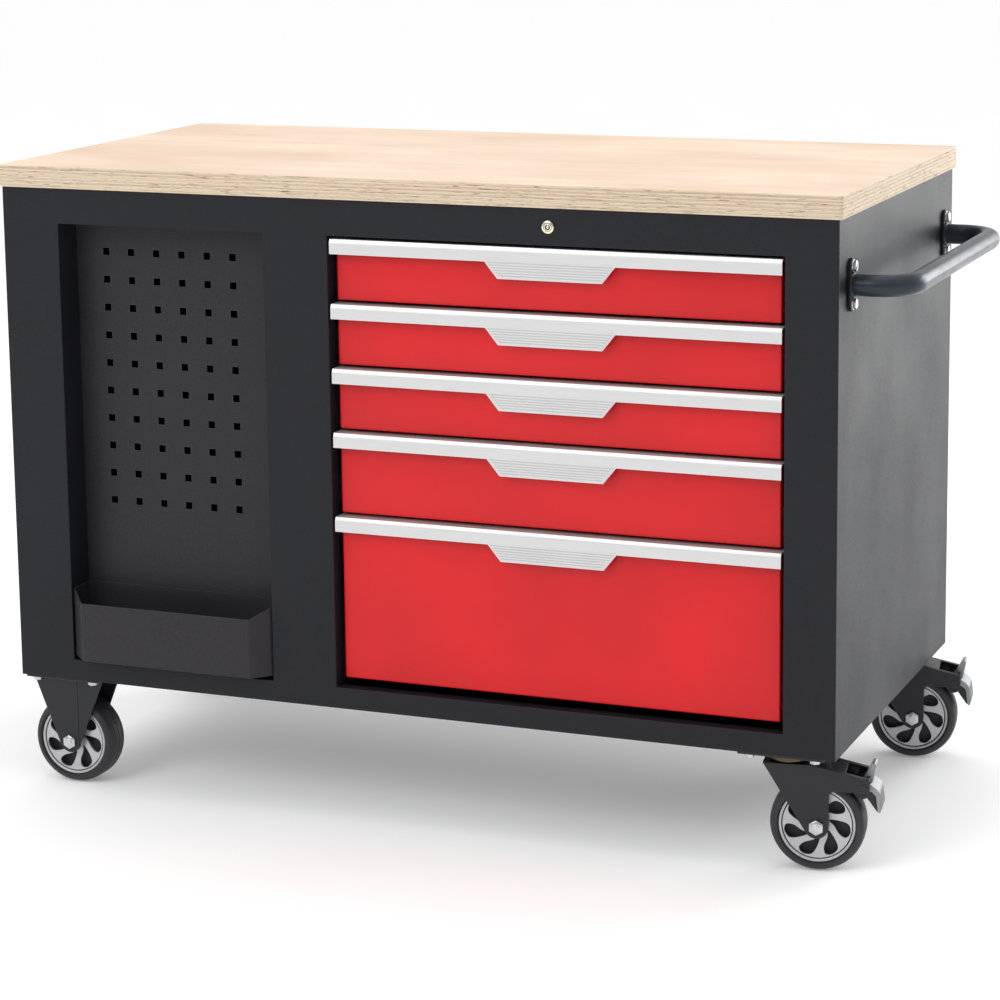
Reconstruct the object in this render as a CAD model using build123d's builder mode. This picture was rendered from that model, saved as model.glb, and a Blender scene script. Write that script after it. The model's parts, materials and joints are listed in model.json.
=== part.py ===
from build123d import *
from math import asin, atan2, cos, hypot, pi, radians, sin, sqrt
import os

# Mobile workbench: five drawers on the right, a tool bay on the left, plywood top.
# X runs along the bench to the handle end, Y from the front to the back, Z up.
# The origin is on the floor, under the middle of the whole outline. Millimetres.

# ---- driving sizes ----
worktop_length = 1200.0
worktop_depth = 600.0
worktop_thickness = 30.0
worktop_overhang = 5.0
worktop_corner = 6.0
worktop_ease = 1.5
cabinet_height = 695.0
sheet = 1.5
base_sheet = 2.0
drawer_sheet = 1.0

# front frame
stile_left = 85.0
bay_width = 311.0
mullion = 95.0
stile_right = 70.0
rail_top = 49.0
rail_bottom = 29.0
bay_recess = 50.0
drawer_lip = 20.0
top_flange = 40.0
rear_flange = 25.0

# drawers, from the top down: three shallow, one medium, one deep
drawer_top_gap = 4.0
drawer_gap = 4.0
drawer_bottom_gap = 11.0
shallow_share = 83.0
medium_share = 111.0
deep_share = 226.0
front_recess = 14.0
front_depth = 16.0
front_sheet = 1.2
front_side_gap = 7.5
box_back_gap = 47.0
box_lift = 4.0
box_drop = 21.0
box_lip = 8.0

# drawer pull strip
pull_side_gap = 3.5
pull_height = 20.0
pull_sheet = 2.5
pull_bevel = 1.8
tab_drop = 42.0
tab_top_width = 180.0
tab_low_width = 144.0
tab_grooves = 7
groove_pitch = 4.2
groove_width = 1.4
groove_depth = 0.6

# drawer slides
slide_space = 12.7
slide_height = 35.0
slide_sheet = 1.2
slide_back_gap = 10.0
slide_rise = 8.0
slide_ball_gap = 2.8
slide_inner_gap = 2.5
slide_lip_gap = 2.2
slide_front_gap = 2.0

# perforated panel
hole_columns = 6
hole_rows = 10
hole_pitch = 39.0
hole_size = 10.0
hole_grid_shift = -12.5
hole_top_drop = 43.0

# tool tray
tray_proud = 20.0
tray_wing = 25.0
tray_clear = 0.5
tray_lift = 5.0
tray_front_height = 83.0
tray_wing_height = 98.0

# push handle
handle_inset = 50.0
handle_drop = 88.0
handle_standoff = 75.0
handle_tube = 28.0
handle_wall = 2.0
handle_bend = 45.0
handle_flange_width = 25.0
handle_flange_sheet = 4.0
handle_bolt_gap = 3.5
handle_bolt_edge = 9.0

# M8 hexagon bolts
bolt_size = 8.0
bolt_clear = 0.3
bolt_flats_ratio = 1.625
bolt_head = 5.5
bolt_tail = 5.0

# casters
wheel_diameter = 125.0
wheel_headroom = 35.0
tyre_width = 45.0
tyre_shoulder = 9.0
tyre_depth = 12.0
rim_side_gap = 3.5
rim_face = 4.0
rim_band = 5.0
hub_radius = 14.0
hub_end_gap = 2.5
spoke_gaps = 7
spoke_tip = 0.31
spoke_heel = 0.87
spoke_sweep = 24.0
spoke_spread = 19.0
axle_size = 12.0
axle_flats_ratio = 1.6
axle_head = 7.0
running_clear = 0.05
fork_side_gap = 3.0
fork_sheet = 3.0
fork_end = 16.0
plate_length = 116.0
plate_edge = 7.5
plate_sheet = 3.0
plate_hole_x = 86.0
plate_head_gap = 0.6
plate_front_gap = 1.0
fixed_side_gap = 1.5
swivel_inset = 73.0
swivel_trail = 38.0
swivel_rest = 9.0
crown_drop = 15.0
crown_radius = 32.0
race_gap = 0.5
kingpin_size = 14.0
kingpin_head = 24.0
kingpin_head_height = 5.0

# wheel brake
arm_past_pin = 8.0
arm_end_drop = 31.0
arm_depth = 18.0
brake_pin_size = 6.0
brake_pin_inset = 2.5
brake_pin_drop = 41.0
brake_side_gap = 3.5
brake_hub = 6.0
brake_cam = 12.0
brake_travel = 25.0
brake_gap = 0.5
pedal_sheet = 5.0
pedal_step = 2.0
pedal_tab_reach = 10.0
pedal_tab_rise = 28.0
pedal_pad_reach = 23.0
pedal_pad_drop = 34.0
pedal_shoulder_reach = 19.0
pedal_shoulder_drop = 6.0

# lock
lock_bezel = 18.0
lock_bezel_proud = 4.0
lock_barrel = 15.0
lock_barrel_depth = 22.0
lock_plug = 10.0
lock_cam_length = 26.0
lock_cam_width = 9.0
lock_cam_sheet = 2.0
lock_chamfer = 1.0
key_ring_outer = 3.8
key_ring_inner = 2.4
key_notch_width = 1.6
key_notch_height = 1.4

# ---- sizes that follow from others ----
wheel_radius = wheel_diameter / 2
axle_z = wheel_radius
caster_height = wheel_diameter + wheel_headroom
bolt_radius = bolt_size / 2
bolt_hole = bolt_radius + bolt_clear
bolt_flats = bolt_size * bolt_flats_ratio
bolt_across = bolt_flats * 2 / sqrt(3)
axle_flats = axle_size * axle_flats_ratio
rim_diameter = wheel_diameter - 2 * tyre_depth
fixed_inset = wheel_radius + fixed_side_gap
rim_width = tyre_width - 2 * rim_side_gap
fork_gap = tyre_width + 2 * fork_side_gap
fork_width = fork_gap + 2 * fork_sheet
hub_length = fork_gap - 2 * hub_end_gap
plate_hole_y = fork_width + bolt_across + 2 * plate_head_gap
plate_width = plate_hole_y + 2 * plate_edge
brake_width = fork_gap - 2 * brake_side_gap
brake_pin_reach = swivel_trail + wheel_radius - brake_pin_inset
arm_reach = brake_pin_reach + arm_past_pin
slide_outer_reach = slide_space - slide_lip_gap
slide_inner_height = slide_height - 2 * slide_sheet - 2 * slide_ball_gap
handle_bolt_offset = handle_tube / 2 + bolt_across / 2 + handle_bolt_gap
handle_flange_height = 2 * (handle_bolt_offset + handle_bolt_edge)

# ---- places worked out from the sizes ----
cabinet_width = worktop_length - 2 * worktop_overhang
cabinet_depth = worktop_depth - 2 * worktop_overhang
handle_reach = handle_standoff + handle_tube / 2
overall_length = worktop_overhang + cabinet_width + handle_reach
overall_depth = tray_proud + cabinet_depth + worktop_overhang
cab_left = -overall_length / 2 + worktop_overhang
cab_right = cab_left + cabinet_width
cab_mid_x = (cab_left + cab_right) / 2
cab_front = -overall_depth / 2 + tray_proud
cab_back = cab_front + cabinet_depth
cab_mid_y = (cab_front + cab_back) / 2
cab_floor = caster_height
cab_top = cab_floor + cabinet_height

bay_left = cab_left + stile_left
bay_right = bay_left + bay_width
open_left = bay_right + mullion
open_right = cab_right - stile_right
open_mid = (open_left + open_right) / 2
open_low = cab_floor + rail_bottom
open_high = cab_top - rail_top
open_width = open_right - open_left
handle_spacing = cabinet_depth - 2 * handle_inset

# the drawer fronts share the opening's height in the ratio of their sizes
shares = [shallow_share, shallow_share, shallow_share, medium_share, deep_share]
stack_gaps = drawer_top_gap + drawer_bottom_gap + drawer_gap * (len(shares) - 1)
share_scale = (open_high - open_low - stack_gaps) / sum(shares)
front_heights = [share * share_scale for share in shares]
front_tops = []
level = open_high - drawer_top_gap
for front_height in front_heights:
    front_tops.append(level)
    level -= front_height + drawer_gap

front_face_y = cab_front + front_recess
box_front_y = front_face_y + front_depth
back_inner_y = cab_back - 2 * sheet
box_back_y = back_inner_y - box_back_gap
slide_front_y = box_front_y + slide_front_gap
slide_back_y = box_back_y - slide_back_gap

handle_z = cab_top - handle_drop
lock_z = (open_high + cab_top) / 2
front_caster_y = cab_front + plate_front_gap + plate_width / 2
rear_caster_y = cab_back - plate_front_gap - plate_width / 2
fixed_x = cab_left + fixed_inset
swivel_x = cab_right - swivel_inset
caster_rows = {"front": front_caster_y, "rear": rear_caster_y}


# ---- shared helpers ----
def slab(x_from, x_to, y_from, y_to, z_from, z_to, mode=Mode.ADD):
    """A block between two limits on each axis."""
    middle = ((x_from + x_to) / 2, (y_from + y_to) / 2, (z_from + z_to) / 2)
    with Locations(middle):
        Box(x_to - x_from, y_to - y_from, z_to - z_from, mode=mode)


def hexagon_radius(across_flats):
    return across_flats / sqrt(3)


def keep(builder, node):
    """Name the finished sub-part and write its file."""
    builder.part.label = node
    export_step(builder.part, "parts/" + node + ".step")


def side_plane(x, y, turn):
    """Upright plane through a caster: across is the trail, up is height, out faces the front."""
    return Plane(
        origin=(x, y, 0),
        x_dir=(cos(radians(turn)), sin(radians(turn)), 0),
        z_dir=(sin(radians(turn)), -cos(radians(turn)), 0),
    )


def top_plane(x, y, z, turn):
    """Level plane at a caster, turned with it."""
    return Plane(origin=(x, y, z), x_dir=(cos(radians(turn)), sin(radians(turn)), 0), z_dir=(0, 0, 1))


def plate_points():
    half_x = plate_hole_x / 2
    half_y = plate_hole_y / 2
    return [(-half_x, -half_y), (half_x, -half_y), (-half_x, half_y), (half_x, half_y)]


def caster_points():
    """Centres of the four mounting plates."""
    return [(x, y) for x in (fixed_x, swivel_x) for y in caster_rows.values()]


# ---- worktop ----
def make_worktop():
    with BuildPart() as worktop:
        with BuildSketch(Plane.XY.offset(cab_top)):
            with Locations((cab_mid_x, cab_mid_y)):
                RectangleRounded(worktop_length, worktop_depth, worktop_corner)
        extrude(amount=worktop_thickness)
        chamfer(worktop.faces().sort_by(Axis.Z)[-1].edges(), length=worktop_ease)
        chamfer(worktop.faces().sort_by(Axis.Z)[0].edges(), length=worktop_ease)
    keep(worktop, "worktop")


# ---- cabinet ----
def make_front_frame():
    face = Plane.XZ.offset(-cab_front)
    bay = ((bay_left + bay_right) / 2, (open_low + open_high) / 2, bay_width)
    drawers = (open_mid, (open_low + open_high) / 2, open_width)
    open_height = open_high - open_low
    with BuildPart() as front_frame:
        with BuildSketch(face):
            with Locations((cab_mid_x, (cab_floor + cab_top) / 2)):
                Rectangle(cabinet_width, cabinet_height)
            for across, up, width in (bay, drawers):
                with Locations((across, up)):
                    Rectangle(width, open_height, mode=Mode.SUBTRACT)
            with Locations((open_mid, lock_z)):
                Circle(lock_barrel / 2 + bolt_clear, mode=Mode.SUBTRACT)
        extrude(amount=-sheet)
        for (across, up, width), lip in ((bay, bay_recess), (drawers, drawer_lip)):
            with BuildSketch(face):
                with Locations((across, up)):
                    Rectangle(width + 2 * sheet, open_height + 2 * sheet)
                    Rectangle(width, open_height, mode=Mode.SUBTRACT)
            extrude(amount=-lip)
        slab(cab_left + sheet, cab_right - sheet, cab_front, cab_front + top_flange,
             cab_top - sheet, cab_top)
    keep(front_frame, "front_frame")


def make_side_panel(node, outer, inner):
    """Upright end sheet with a return along the back; outer and inner are its two faces."""
    into = 1 if inner > outer else -1
    edge = sorted((outer, inner + into * rear_flange))
    skin = sorted((outer, inner))
    with BuildPart() as side_panel:
        slab(skin[0], skin[1], cab_front + sheet, cab_back, cab_floor, cab_top)
        slab(edge[0], edge[1], cab_back - sheet, cab_back, cab_floor, cab_top)
        if outer > inner:
            with BuildSketch(Plane.YZ.offset(cab_right)):
                with Locations(*handle_bolt_points()):
                    Circle(bolt_hole)
            extrude(amount=-sheet, mode=Mode.SUBTRACT)
    keep(side_panel, node)


def make_back_panel():
    with BuildPart() as back_panel:
        slab(cab_left + sheet, cab_right - sheet, cab_back - 2 * sheet, cab_back - sheet,
             cab_floor, cab_top)
        slab(cab_left + sheet, cab_right - sheet, cab_back - top_flange, cab_back - 2 * sheet,
             cab_top - sheet, cab_top)
    keep(back_panel, "back_panel")


def make_base_panel():
    with BuildPart() as base_panel:
        slab(cab_left + sheet, cab_right - sheet, cab_front + sheet, back_inner_y,
             cab_floor, cab_floor + base_sheet)
        with BuildSketch(Plane.XY.offset(cab_floor)):
            with Locations(*caster_points()):
                with GridLocations(plate_hole_x, plate_hole_y, 2, 2):
                    Circle(bolt_hole)
        extrude(amount=base_sheet, mode=Mode.SUBTRACT)
    keep(base_panel, "base_panel")


def make_drawer_wall(node, face_x, outward):
    """Inner wall that carries one side's slides; outward is the side away from the drawers."""
    wall = sorted((face_x, face_x + outward * sheet))
    foot = sorted((face_x, face_x + outward * rear_flange))
    front_y = cab_front + drawer_lip
    floor_z = cab_floor + base_sheet
    with BuildPart() as drawer_wall:
        slab(wall[0], wall[1], front_y, back_inner_y, floor_z, cab_top - sheet)
        slab(foot[0], foot[1], front_caster_y + plate_width, rear_caster_y - plate_width,
             floor_z, floor_z + sheet)
        slab(foot[0], foot[1], cab_front + top_flange, cab_back - top_flange,
             cab_top - sheet, cab_top)
    keep(drawer_wall, node)


def make_perforated_panel():
    face_y = cab_front + bay_recess
    grid_x = (bay_left + bay_right) / 2 + hole_grid_shift
    grid_z = open_high - hole_top_drop - hole_pitch * (hole_rows - 1) / 2
    left = cab_left + sheet
    right = open_left - sheet
    floor_z = cab_floor + base_sheet
    with BuildPart() as perforated_panel:
        with BuildSketch(Plane.XZ.offset(-face_y)):
            with Locations(((left + right) / 2, (floor_z + cab_top - sheet) / 2)):
                Rectangle(right - left, cab_top - sheet - floor_z)
            with Locations((grid_x, grid_z)):
                with GridLocations(hole_pitch, hole_pitch, hole_columns, hole_rows):
                    Rectangle(hole_size, hole_size, mode=Mode.SUBTRACT)
        extrude(amount=-sheet)
        slab(left, right, face_y, face_y + rear_flange, cab_top - 2 * sheet, cab_top - sheet)
    keep(perforated_panel, "perforated_panel")


def tray_outline(inset):
    """Plan of the tray, drawn in by a wall thickness where asked."""
    near = cab_front - tray_proud + inset
    far = cab_front + bay_recess - inset
    left = bay_left + tray_clear + inset
    right = bay_right - tray_clear - inset
    knee = inset * (sqrt(2) - 1)
    bend_y = near + tray_wing + knee - inset
    return [
        (left, far),
        (left, bend_y),
        (left + tray_wing + knee - inset, near),
        (right - tray_wing - knee + inset, near),
        (right, bend_y),
        (right, far),
    ]


def make_tool_tray():
    floor_z = open_low + tray_lift
    near = cab_front - tray_proud
    with BuildPart() as tool_tray:
        with BuildSketch(Plane.XY.offset(floor_z)):
            with BuildLine():
                Polyline(*tray_outline(0), close=True)
            make_face()
        extrude(amount=tray_wing_height)
        with BuildSketch(Plane.XY.offset(floor_z + sheet)):
            with BuildLine():
                Polyline(*tray_outline(sheet), close=True)
            make_face()
        extrude(amount=tray_wing_height, mode=Mode.SUBTRACT)
        with BuildSketch(Plane.YZ.offset(bay_left)):
            with BuildLine():
                Polyline(
                    (near - sheet, floor_z + tray_front_height),
                    (near + sheet, floor_z + tray_front_height),
                    (near + tray_wing, floor_z + tray_wing_height),
                    (near + tray_wing, floor_z + tray_wing_height + sheet),
                    (near - sheet, floor_z + tray_wing_height + sheet),
                    close=True,
                )
            make_face()
        extrude(amount=bay_width, mode=Mode.SUBTRACT)
    keep(tool_tray, "tool_tray")


# ---- drawers ----
def box_heights(number):
    """Underside and rim height of one drawer's box."""
    front_low = front_tops[number] - front_heights[number]
    low = front_low + box_lift
    return low, front_low + front_heights[number] - box_drop


def make_drawer_box(number):
    low, high = box_heights(number)
    left = open_left + slide_space
    right = open_right - slide_space
    wall = drawer_sheet
    lip = drawer_sheet + box_lip
    with BuildPart() as drawer_box:
        slab(left, right, box_front_y, box_back_y, low, high)
        slab(left + wall, right - wall, box_front_y + wall, box_back_y - wall,
             low + wall, high - wall, mode=Mode.SUBTRACT)
        slab(left + lip, right - lip, box_front_y + wall, box_back_y - wall,
             high - 2 * wall, high + wall, mode=Mode.SUBTRACT)
    keep(drawer_box, "drawer_" + str(number + 1) + "_box")


def make_drawer_front(number):
    """Folded pan: a face sheet with returns that meet the drawer box."""
    high = front_tops[number] - pull_sheet
    low = front_tops[number] - front_heights[number]
    left = open_left + front_side_gap
    right = open_right - front_side_gap
    with BuildPart() as drawer_front:
        slab(left, right, front_face_y, box_front_y, low, high)
        fillet(drawer_front.edges().filter_by(Axis.Z).group_by(Axis.Y)[0], radius=front_sheet)
        slab(left + front_sheet, right - front_sheet, front_face_y + front_sheet, box_front_y,
             low + front_sheet, high - front_sheet, mode=Mode.SUBTRACT)
    keep(drawer_front, "drawer_" + str(number + 1) + "_front")


def make_drawer_pull(number):
    """Extruded strip over the front's top edge, with a ribbed tapered tab in its middle."""
    high = front_tops[number]
    width = open_width - 2 * pull_side_gap
    with BuildPart() as drawer_pull:
        with BuildSketch(Plane.YZ.offset(open_mid - width / 2)):
            with BuildLine():
                Polyline(
                    (cab_front, high - pull_height),
                    (cab_front + pull_sheet, high - pull_height),
                    (cab_front + pull_sheet, high - pull_sheet),
                    (box_front_y, high - pull_sheet),
                    (box_front_y, high),
                    (cab_front + pull_bevel, high),
                    (cab_front, high - pull_bevel),
                    close=True,
                )
            make_face()
        extrude(amount=width)
        with BuildSketch(Plane.XZ.offset(-cab_front)):
            with BuildLine():
                Polyline(
                    (open_mid - tab_top_width / 2, high - pull_height),
                    (open_mid - tab_low_width / 2, high - tab_drop),
                    (open_mid + tab_low_width / 2, high - tab_drop),
                    (open_mid + tab_top_width / 2, high - pull_height),
                    close=True,
                )
            make_face()
        extrude(amount=-pull_sheet)
        for rib in range(tab_grooves):
            groove_z = high - tab_drop + groove_pitch * (rib + 1)
            across = tab_low_width - 2 * groove_pitch
            slab(open_mid - across / 2, open_mid + across / 2, cab_front, cab_front + groove_depth,
                 groove_z - groove_width / 2, groove_z + groove_width / 2, mode=Mode.SUBTRACT)
    keep(drawer_pull, "drawer_" + str(number + 1) + "_pull")


def slide_middle(number):
    low, high = box_heights(number)
    return low + slide_rise + slide_height / 2


def make_slide_rails():
    """Fixed channels, a pair to each drawer, open towards the drawer."""
    with BuildPart() as slide_rails:
        for number in range(len(shares)):
            middle = slide_middle(number)
            low = middle - slide_height / 2
            high = middle + slide_height / 2
            for wall_x, into in ((open_left, 1), (open_right, -1)):
                span = sorted((wall_x, wall_x + into * slide_outer_reach))
                hollow = sorted((wall_x + into * slide_sheet, wall_x + into * slide_space))
                slab(span[0], span[1], slide_front_y, slide_back_y, low, high)
                slab(hollow[0], hollow[1], slide_front_y, slide_back_y,
                     low + slide_sheet, high - slide_sheet, mode=Mode.SUBTRACT)
    keep(slide_rails, "slide_rails")


def make_drawer_runners(number):
    """Moving channels on the box sides, inside the fixed ones."""
    middle = slide_middle(number)
    low = middle - slide_inner_height / 2
    high = middle + slide_inner_height / 2
    with BuildPart() as drawer_runners:
        for wall_x, into in ((open_left, 1), (open_right, -1)):
            span = sorted((wall_x + into * slide_inner_gap, wall_x + into * slide_space))
            hollow = sorted((wall_x, wall_x + into * (slide_space - slide_sheet)))
            slab(span[0], span[1], slide_front_y, slide_back_y, low, high)
            slab(hollow[0], hollow[1], slide_front_y, slide_back_y,
                 low + slide_sheet, high - slide_sheet, mode=Mode.SUBTRACT)
    keep(drawer_runners, "drawer_" + str(number + 1) + "_runners")


# ---- lock ----
def make_lock():
    face = Plane.XZ.offset(-cab_front)
    plug_hole = lock_plug / 2 + running_clear
    with BuildPart() as lock_housing:
        with BuildSketch(face):
            with Locations((open_mid, lock_z)):
                Circle(lock_bezel / 2)
                Circle(plug_hole, mode=Mode.SUBTRACT)
        extrude(amount=lock_bezel_proud)
        chamfer(lock_housing.faces().sort_by(Axis.Y)[0].edges().sort_by(SortBy.RADIUS)[-1], length=lock_chamfer)
        with BuildSketch(face):
            with Locations((open_mid, lock_z)):
                Circle(lock_barrel / 2)
                Circle(plug_hole, mode=Mode.SUBTRACT)
        extrude(amount=-lock_barrel_depth)
    keep(lock_housing, "lock_housing")

    plug_front = Plane.XZ.offset(-cab_front + lock_bezel_proud)
    plug_length = lock_bezel_proud + lock_barrel_depth + lock_cam_sheet
    with BuildPart() as lock_cylinder:
        with BuildSketch(plug_front):
            with Locations((open_mid, lock_z)):
                Circle(lock_plug / 2)
        extrude(amount=-plug_length)
        with BuildSketch(plug_front):
            with Locations((open_mid, lock_z)):
                Circle(key_ring_outer)
                Circle(key_ring_inner, mode=Mode.SUBTRACT)
            with Locations((open_mid, lock_z + key_ring_outer)):
                Rectangle(key_notch_width, key_notch_height)
        extrude(amount=-lock_bezel_proud, mode=Mode.SUBTRACT)
    keep(lock_cylinder, "lock_cylinder")

    with BuildPart() as lock_cam:
        with BuildSketch(Plane.XZ.offset(-cab_front - lock_barrel_depth - lock_cam_sheet)):
            with Locations((open_mid, lock_z)):
                SlotCenterPoint((0, 0), (lock_cam_length - lock_cam_width, 0), lock_cam_width)
        extrude(amount=-lock_cam_sheet)
    keep(lock_cam, "lock_cam")


# ---- push handle ----
def handle_bolt_points():
    """Bolt centres on the right side, as depth and height."""
    return [
        (cab_mid_y + end * handle_spacing / 2, handle_z + step * handle_bolt_offset)
        for end in (-1, 1)
        for step in (-1, 1)
    ]


def make_handle():
    flange_face = cab_right + handle_flange_sheet
    tube_x = cab_right + handle_standoff
    near = cab_mid_y - handle_spacing / 2
    far = cab_mid_y + handle_spacing / 2
    knee = handle_bend * (1 - sqrt(0.5))
    with BuildPart() as handle_tube_part:
        with BuildLine():
            Line((flange_face, near, handle_z), (tube_x - handle_bend, near, handle_z))
            ThreePointArc(
                (tube_x - handle_bend, near, handle_z),
                (tube_x - knee, near + knee, handle_z),
                (tube_x, near + handle_bend, handle_z),
            )
            Line((tube_x, near + handle_bend, handle_z), (tube_x, far - handle_bend, handle_z))
            ThreePointArc(
                (tube_x, far - handle_bend, handle_z),
                (tube_x - knee, far - knee, handle_z),
                (tube_x - handle_bend, far, handle_z),
            )
            Line((tube_x - handle_bend, far, handle_z), (flange_face, far, handle_z))
        with BuildSketch(Plane(origin=(flange_face, near, handle_z), z_dir=(1, 0, 0))):
            Circle(handle_tube / 2)
            Circle(handle_tube / 2 - handle_wall, mode=Mode.SUBTRACT)
        sweep()
    keep(handle_tube_part, "handle_tube")

    with BuildPart() as handle_flanges:
        with BuildSketch(Plane.YZ.offset(cab_right)):
            for end_y in (near, far):
                with Locations((end_y, handle_z)):
                    SlotOverall(handle_flange_height, handle_flange_width, rotation=90)
            with Locations(*handle_bolt_points()):
                Circle(bolt_hole, mode=Mode.SUBTRACT)
        extrude(amount=handle_flange_sheet)
    keep(handle_flanges, "handle_flanges")

    with BuildPart() as handle_bolts:
        with BuildSketch(Plane.YZ.offset(flange_face)):
            with Locations(*handle_bolt_points()):
                RegularPolygon(hexagon_radius(bolt_flats), 6)
        extrude(amount=bolt_head)
        with BuildSketch(Plane.YZ.offset(flange_face)):
            with Locations(*handle_bolt_points()):
                Circle(bolt_radius)
        extrude(amount=-(handle_flange_sheet + sheet + bolt_tail))
    keep(handle_bolts, "handle_bolts")


# ---- casters ----
def make_caster_bolts():
    """Sixteen plate bolts, heads below."""
    head_top = cab_floor - plate_sheet
    with BuildPart() as caster_bolts:
        with BuildSketch(Plane.XY.offset(head_top)):
            with Locations(*caster_points()):
                with GridLocations(plate_hole_x, plate_hole_y, 2, 2):
                    RegularPolygon(hexagon_radius(bolt_flats), 6)
        extrude(amount=-bolt_head)
        with BuildSketch(Plane.XY.offset(head_top)):
            with Locations(*caster_points()):
                with GridLocations(plate_hole_x, plate_hole_y, 2, 2):
                    Circle(bolt_radius)
        extrude(amount=plate_sheet + base_sheet + bolt_tail)
    keep(caster_bolts, "caster_bolts")


def plate_sketch(x, y):
    """Mounting plate outline with its four holes, on the plane in use."""
    with Locations((x, y)):
        RectangleRounded(plate_length, plate_width, fork_sheet)
        with GridLocations(plate_hole_x, plate_hole_y, 2, 2):
            Circle(bolt_hole, mode=Mode.SUBTRACT)


def axle_tangent(centre_x, from_x, from_z, side):
    """Point where a line from a top corner meets the rounded lower end of a cheek."""
    run = from_x - centre_x
    rise = from_z - axle_z
    reach = hypot(run, rise)
    lean = atan2(rise, run) + side * (pi / 2 - asin(fork_end / reach))
    return centre_x + fork_end * cos(lean), axle_z + fork_end * sin(lean)


def make_fixed_fork(row):
    """Non-turning bracket: the plate and two tapered cheeks."""
    plane = side_plane(fixed_x, caster_rows[row], 0)
    top = cab_floor - plate_sheet
    half = plate_length / 2 - fork_sheet
    with BuildPart() as fixed_fork:
        with BuildSketch(Plane.XY.offset(top)):
            plate_sketch(fixed_x, caster_rows[row])
        extrude(amount=plate_sheet)
        for start in (fork_gap / 2, -fork_gap / 2 - fork_sheet):
            with BuildSketch(plane.offset(start)):
                with BuildLine():
                    Polyline(
                        (-half, top),
                        axle_tangent(0, -half, top, 1),
                        axle_tangent(0, half, top, -1),
                        (half, top),
                        close=True,
                    )
                make_face()
                with Locations((0, axle_z)):
                    Circle(fork_end)
                    Circle(axle_size / 2 + running_clear, mode=Mode.SUBTRACT)
            extrude(amount=fork_sheet)
    keep(fixed_fork, "fixed_fork_" + row)


def make_axle(node, plane, axle_x):
    """Hexagon bolt and nut through the fork."""
    reach = fork_gap / 2 + fork_sheet
    with BuildPart() as axle:
        with BuildSketch(plane):
            with Locations((axle_x, axle_z)):
                Circle(axle_size / 2)
        extrude(amount=reach + axle_head, both=True)
        for start in (reach, -reach - axle_head):
            with BuildSketch(plane.offset(start)):
                with Locations((axle_x, axle_z)):
                    RegularPolygon(hexagon_radius(axle_flats), 6)
            extrude(amount=axle_head)
    keep(axle, node)


def make_wheel(corner, plane, axle_x):
    """A hub with pierced faces and the tyre on it."""
    with BuildPart() as rim:
        with BuildSketch(plane):
            with Locations((axle_x, axle_z)):
                Circle(rim_diameter / 2)
        extrude(amount=rim_width / 2, both=True)
        with BuildSketch(plane):
            with Locations((axle_x, axle_z)):
                Circle(rim_diameter / 2 - rim_band)
                Circle(hub_radius, mode=Mode.SUBTRACT)
        extrude(amount=rim_width / 2 - rim_face, both=True, mode=Mode.SUBTRACT)
        with BuildSketch(plane):
            with Locations((axle_x, axle_z)):
                Circle(hub_radius)
        extrude(amount=hub_length / 2, both=True)
        with BuildSketch(plane):
            with Locations((axle_x, axle_z)):
                Circle(axle_size / 2 + running_clear)
        extrude(amount=hub_length / 2, both=True, mode=Mode.SUBTRACT)
        for gap in range(spoke_gaps):
            with BuildSketch(plane):
                with BuildLine():
                    Spline(*spoke_gap_outline(axle_x, 360 * gap / spoke_gaps), periodic=True)
                make_face()
            extrude(amount=rim_width / 2, both=True, mode=Mode.SUBTRACT)
    keep(rim, "rim_" + corner)

    with BuildPart() as tyre:
        with BuildSketch(plane):
            with Locations((axle_x, axle_z)):
                Circle(wheel_radius)
        extrude(amount=tyre_width / 2, both=True)
        fillet(tyre.edges().filter_by(GeomType.CIRCLE), radius=tyre_shoulder)
        with BuildSketch(plane):
            with Locations((axle_x, axle_z)):
                Circle(rim_diameter / 2)
        extrude(amount=tyre_width / 2, both=True, mode=Mode.SUBTRACT)
    keep(tyre, "tyre_" + corner)


def spoke_gap_outline(axle_x, turn):
    """Swept teardrop between two spokes: a pointed tip at the hub and a round heel at the rim."""
    span = spoke_heel - spoke_tip
    trace = [
        (spoke_tip, spoke_sweep),
        (spoke_tip + span * 0.43, spoke_sweep * 0.55),
        (spoke_heel - span * 0.12, spoke_sweep * 0.13),
        (spoke_heel, -spoke_spread / 2),
        (spoke_heel - span * 0.12, -spoke_spread),
        (spoke_tip + span * 0.54, -spoke_spread * 0.95),
        (spoke_tip + span * 0.20, 0.0),
    ]
    return [
        (
            axle_x + rim_diameter / 2 * share * cos(radians(turn + lean)),
            axle_z + rim_diameter / 2 * share * sin(radians(turn + lean)),
        )
        for share, lean in trace
    ]


def make_swivel_plate():
    """Two top plates, each with its upper race and the kingpin the fork turns on."""
    top = cab_floor - plate_sheet
    crown_top = cab_floor - crown_drop
    crown_low = crown_top - fork_sheet
    with BuildPart() as swivel_plates:
        with BuildSketch(Plane.XY.offset(top)):
            for y in caster_rows.values():
                plate_sketch(swivel_x, y)
        extrude(amount=plate_sheet)
        for y in caster_rows.values():
            with BuildSketch(Plane.XY.offset(crown_top + race_gap)):
                with Locations((swivel_x, y)):
                    Circle(crown_radius - fork_sheet)
            extrude(amount=top - crown_top - race_gap)
            with BuildSketch(Plane.XY.offset(crown_top + race_gap)):
                with Locations((swivel_x, y)):
                    Circle(kingpin_size / 2)
            extrude(amount=-(fork_sheet + 2 * race_gap))
            with BuildSketch(Plane.XY.offset(crown_low - race_gap)):
                with Locations((swivel_x, y)):
                    Circle(kingpin_head / 2)
            extrude(amount=-kingpin_head_height)
    keep(swivel_plates, "swivel_plates")


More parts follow.
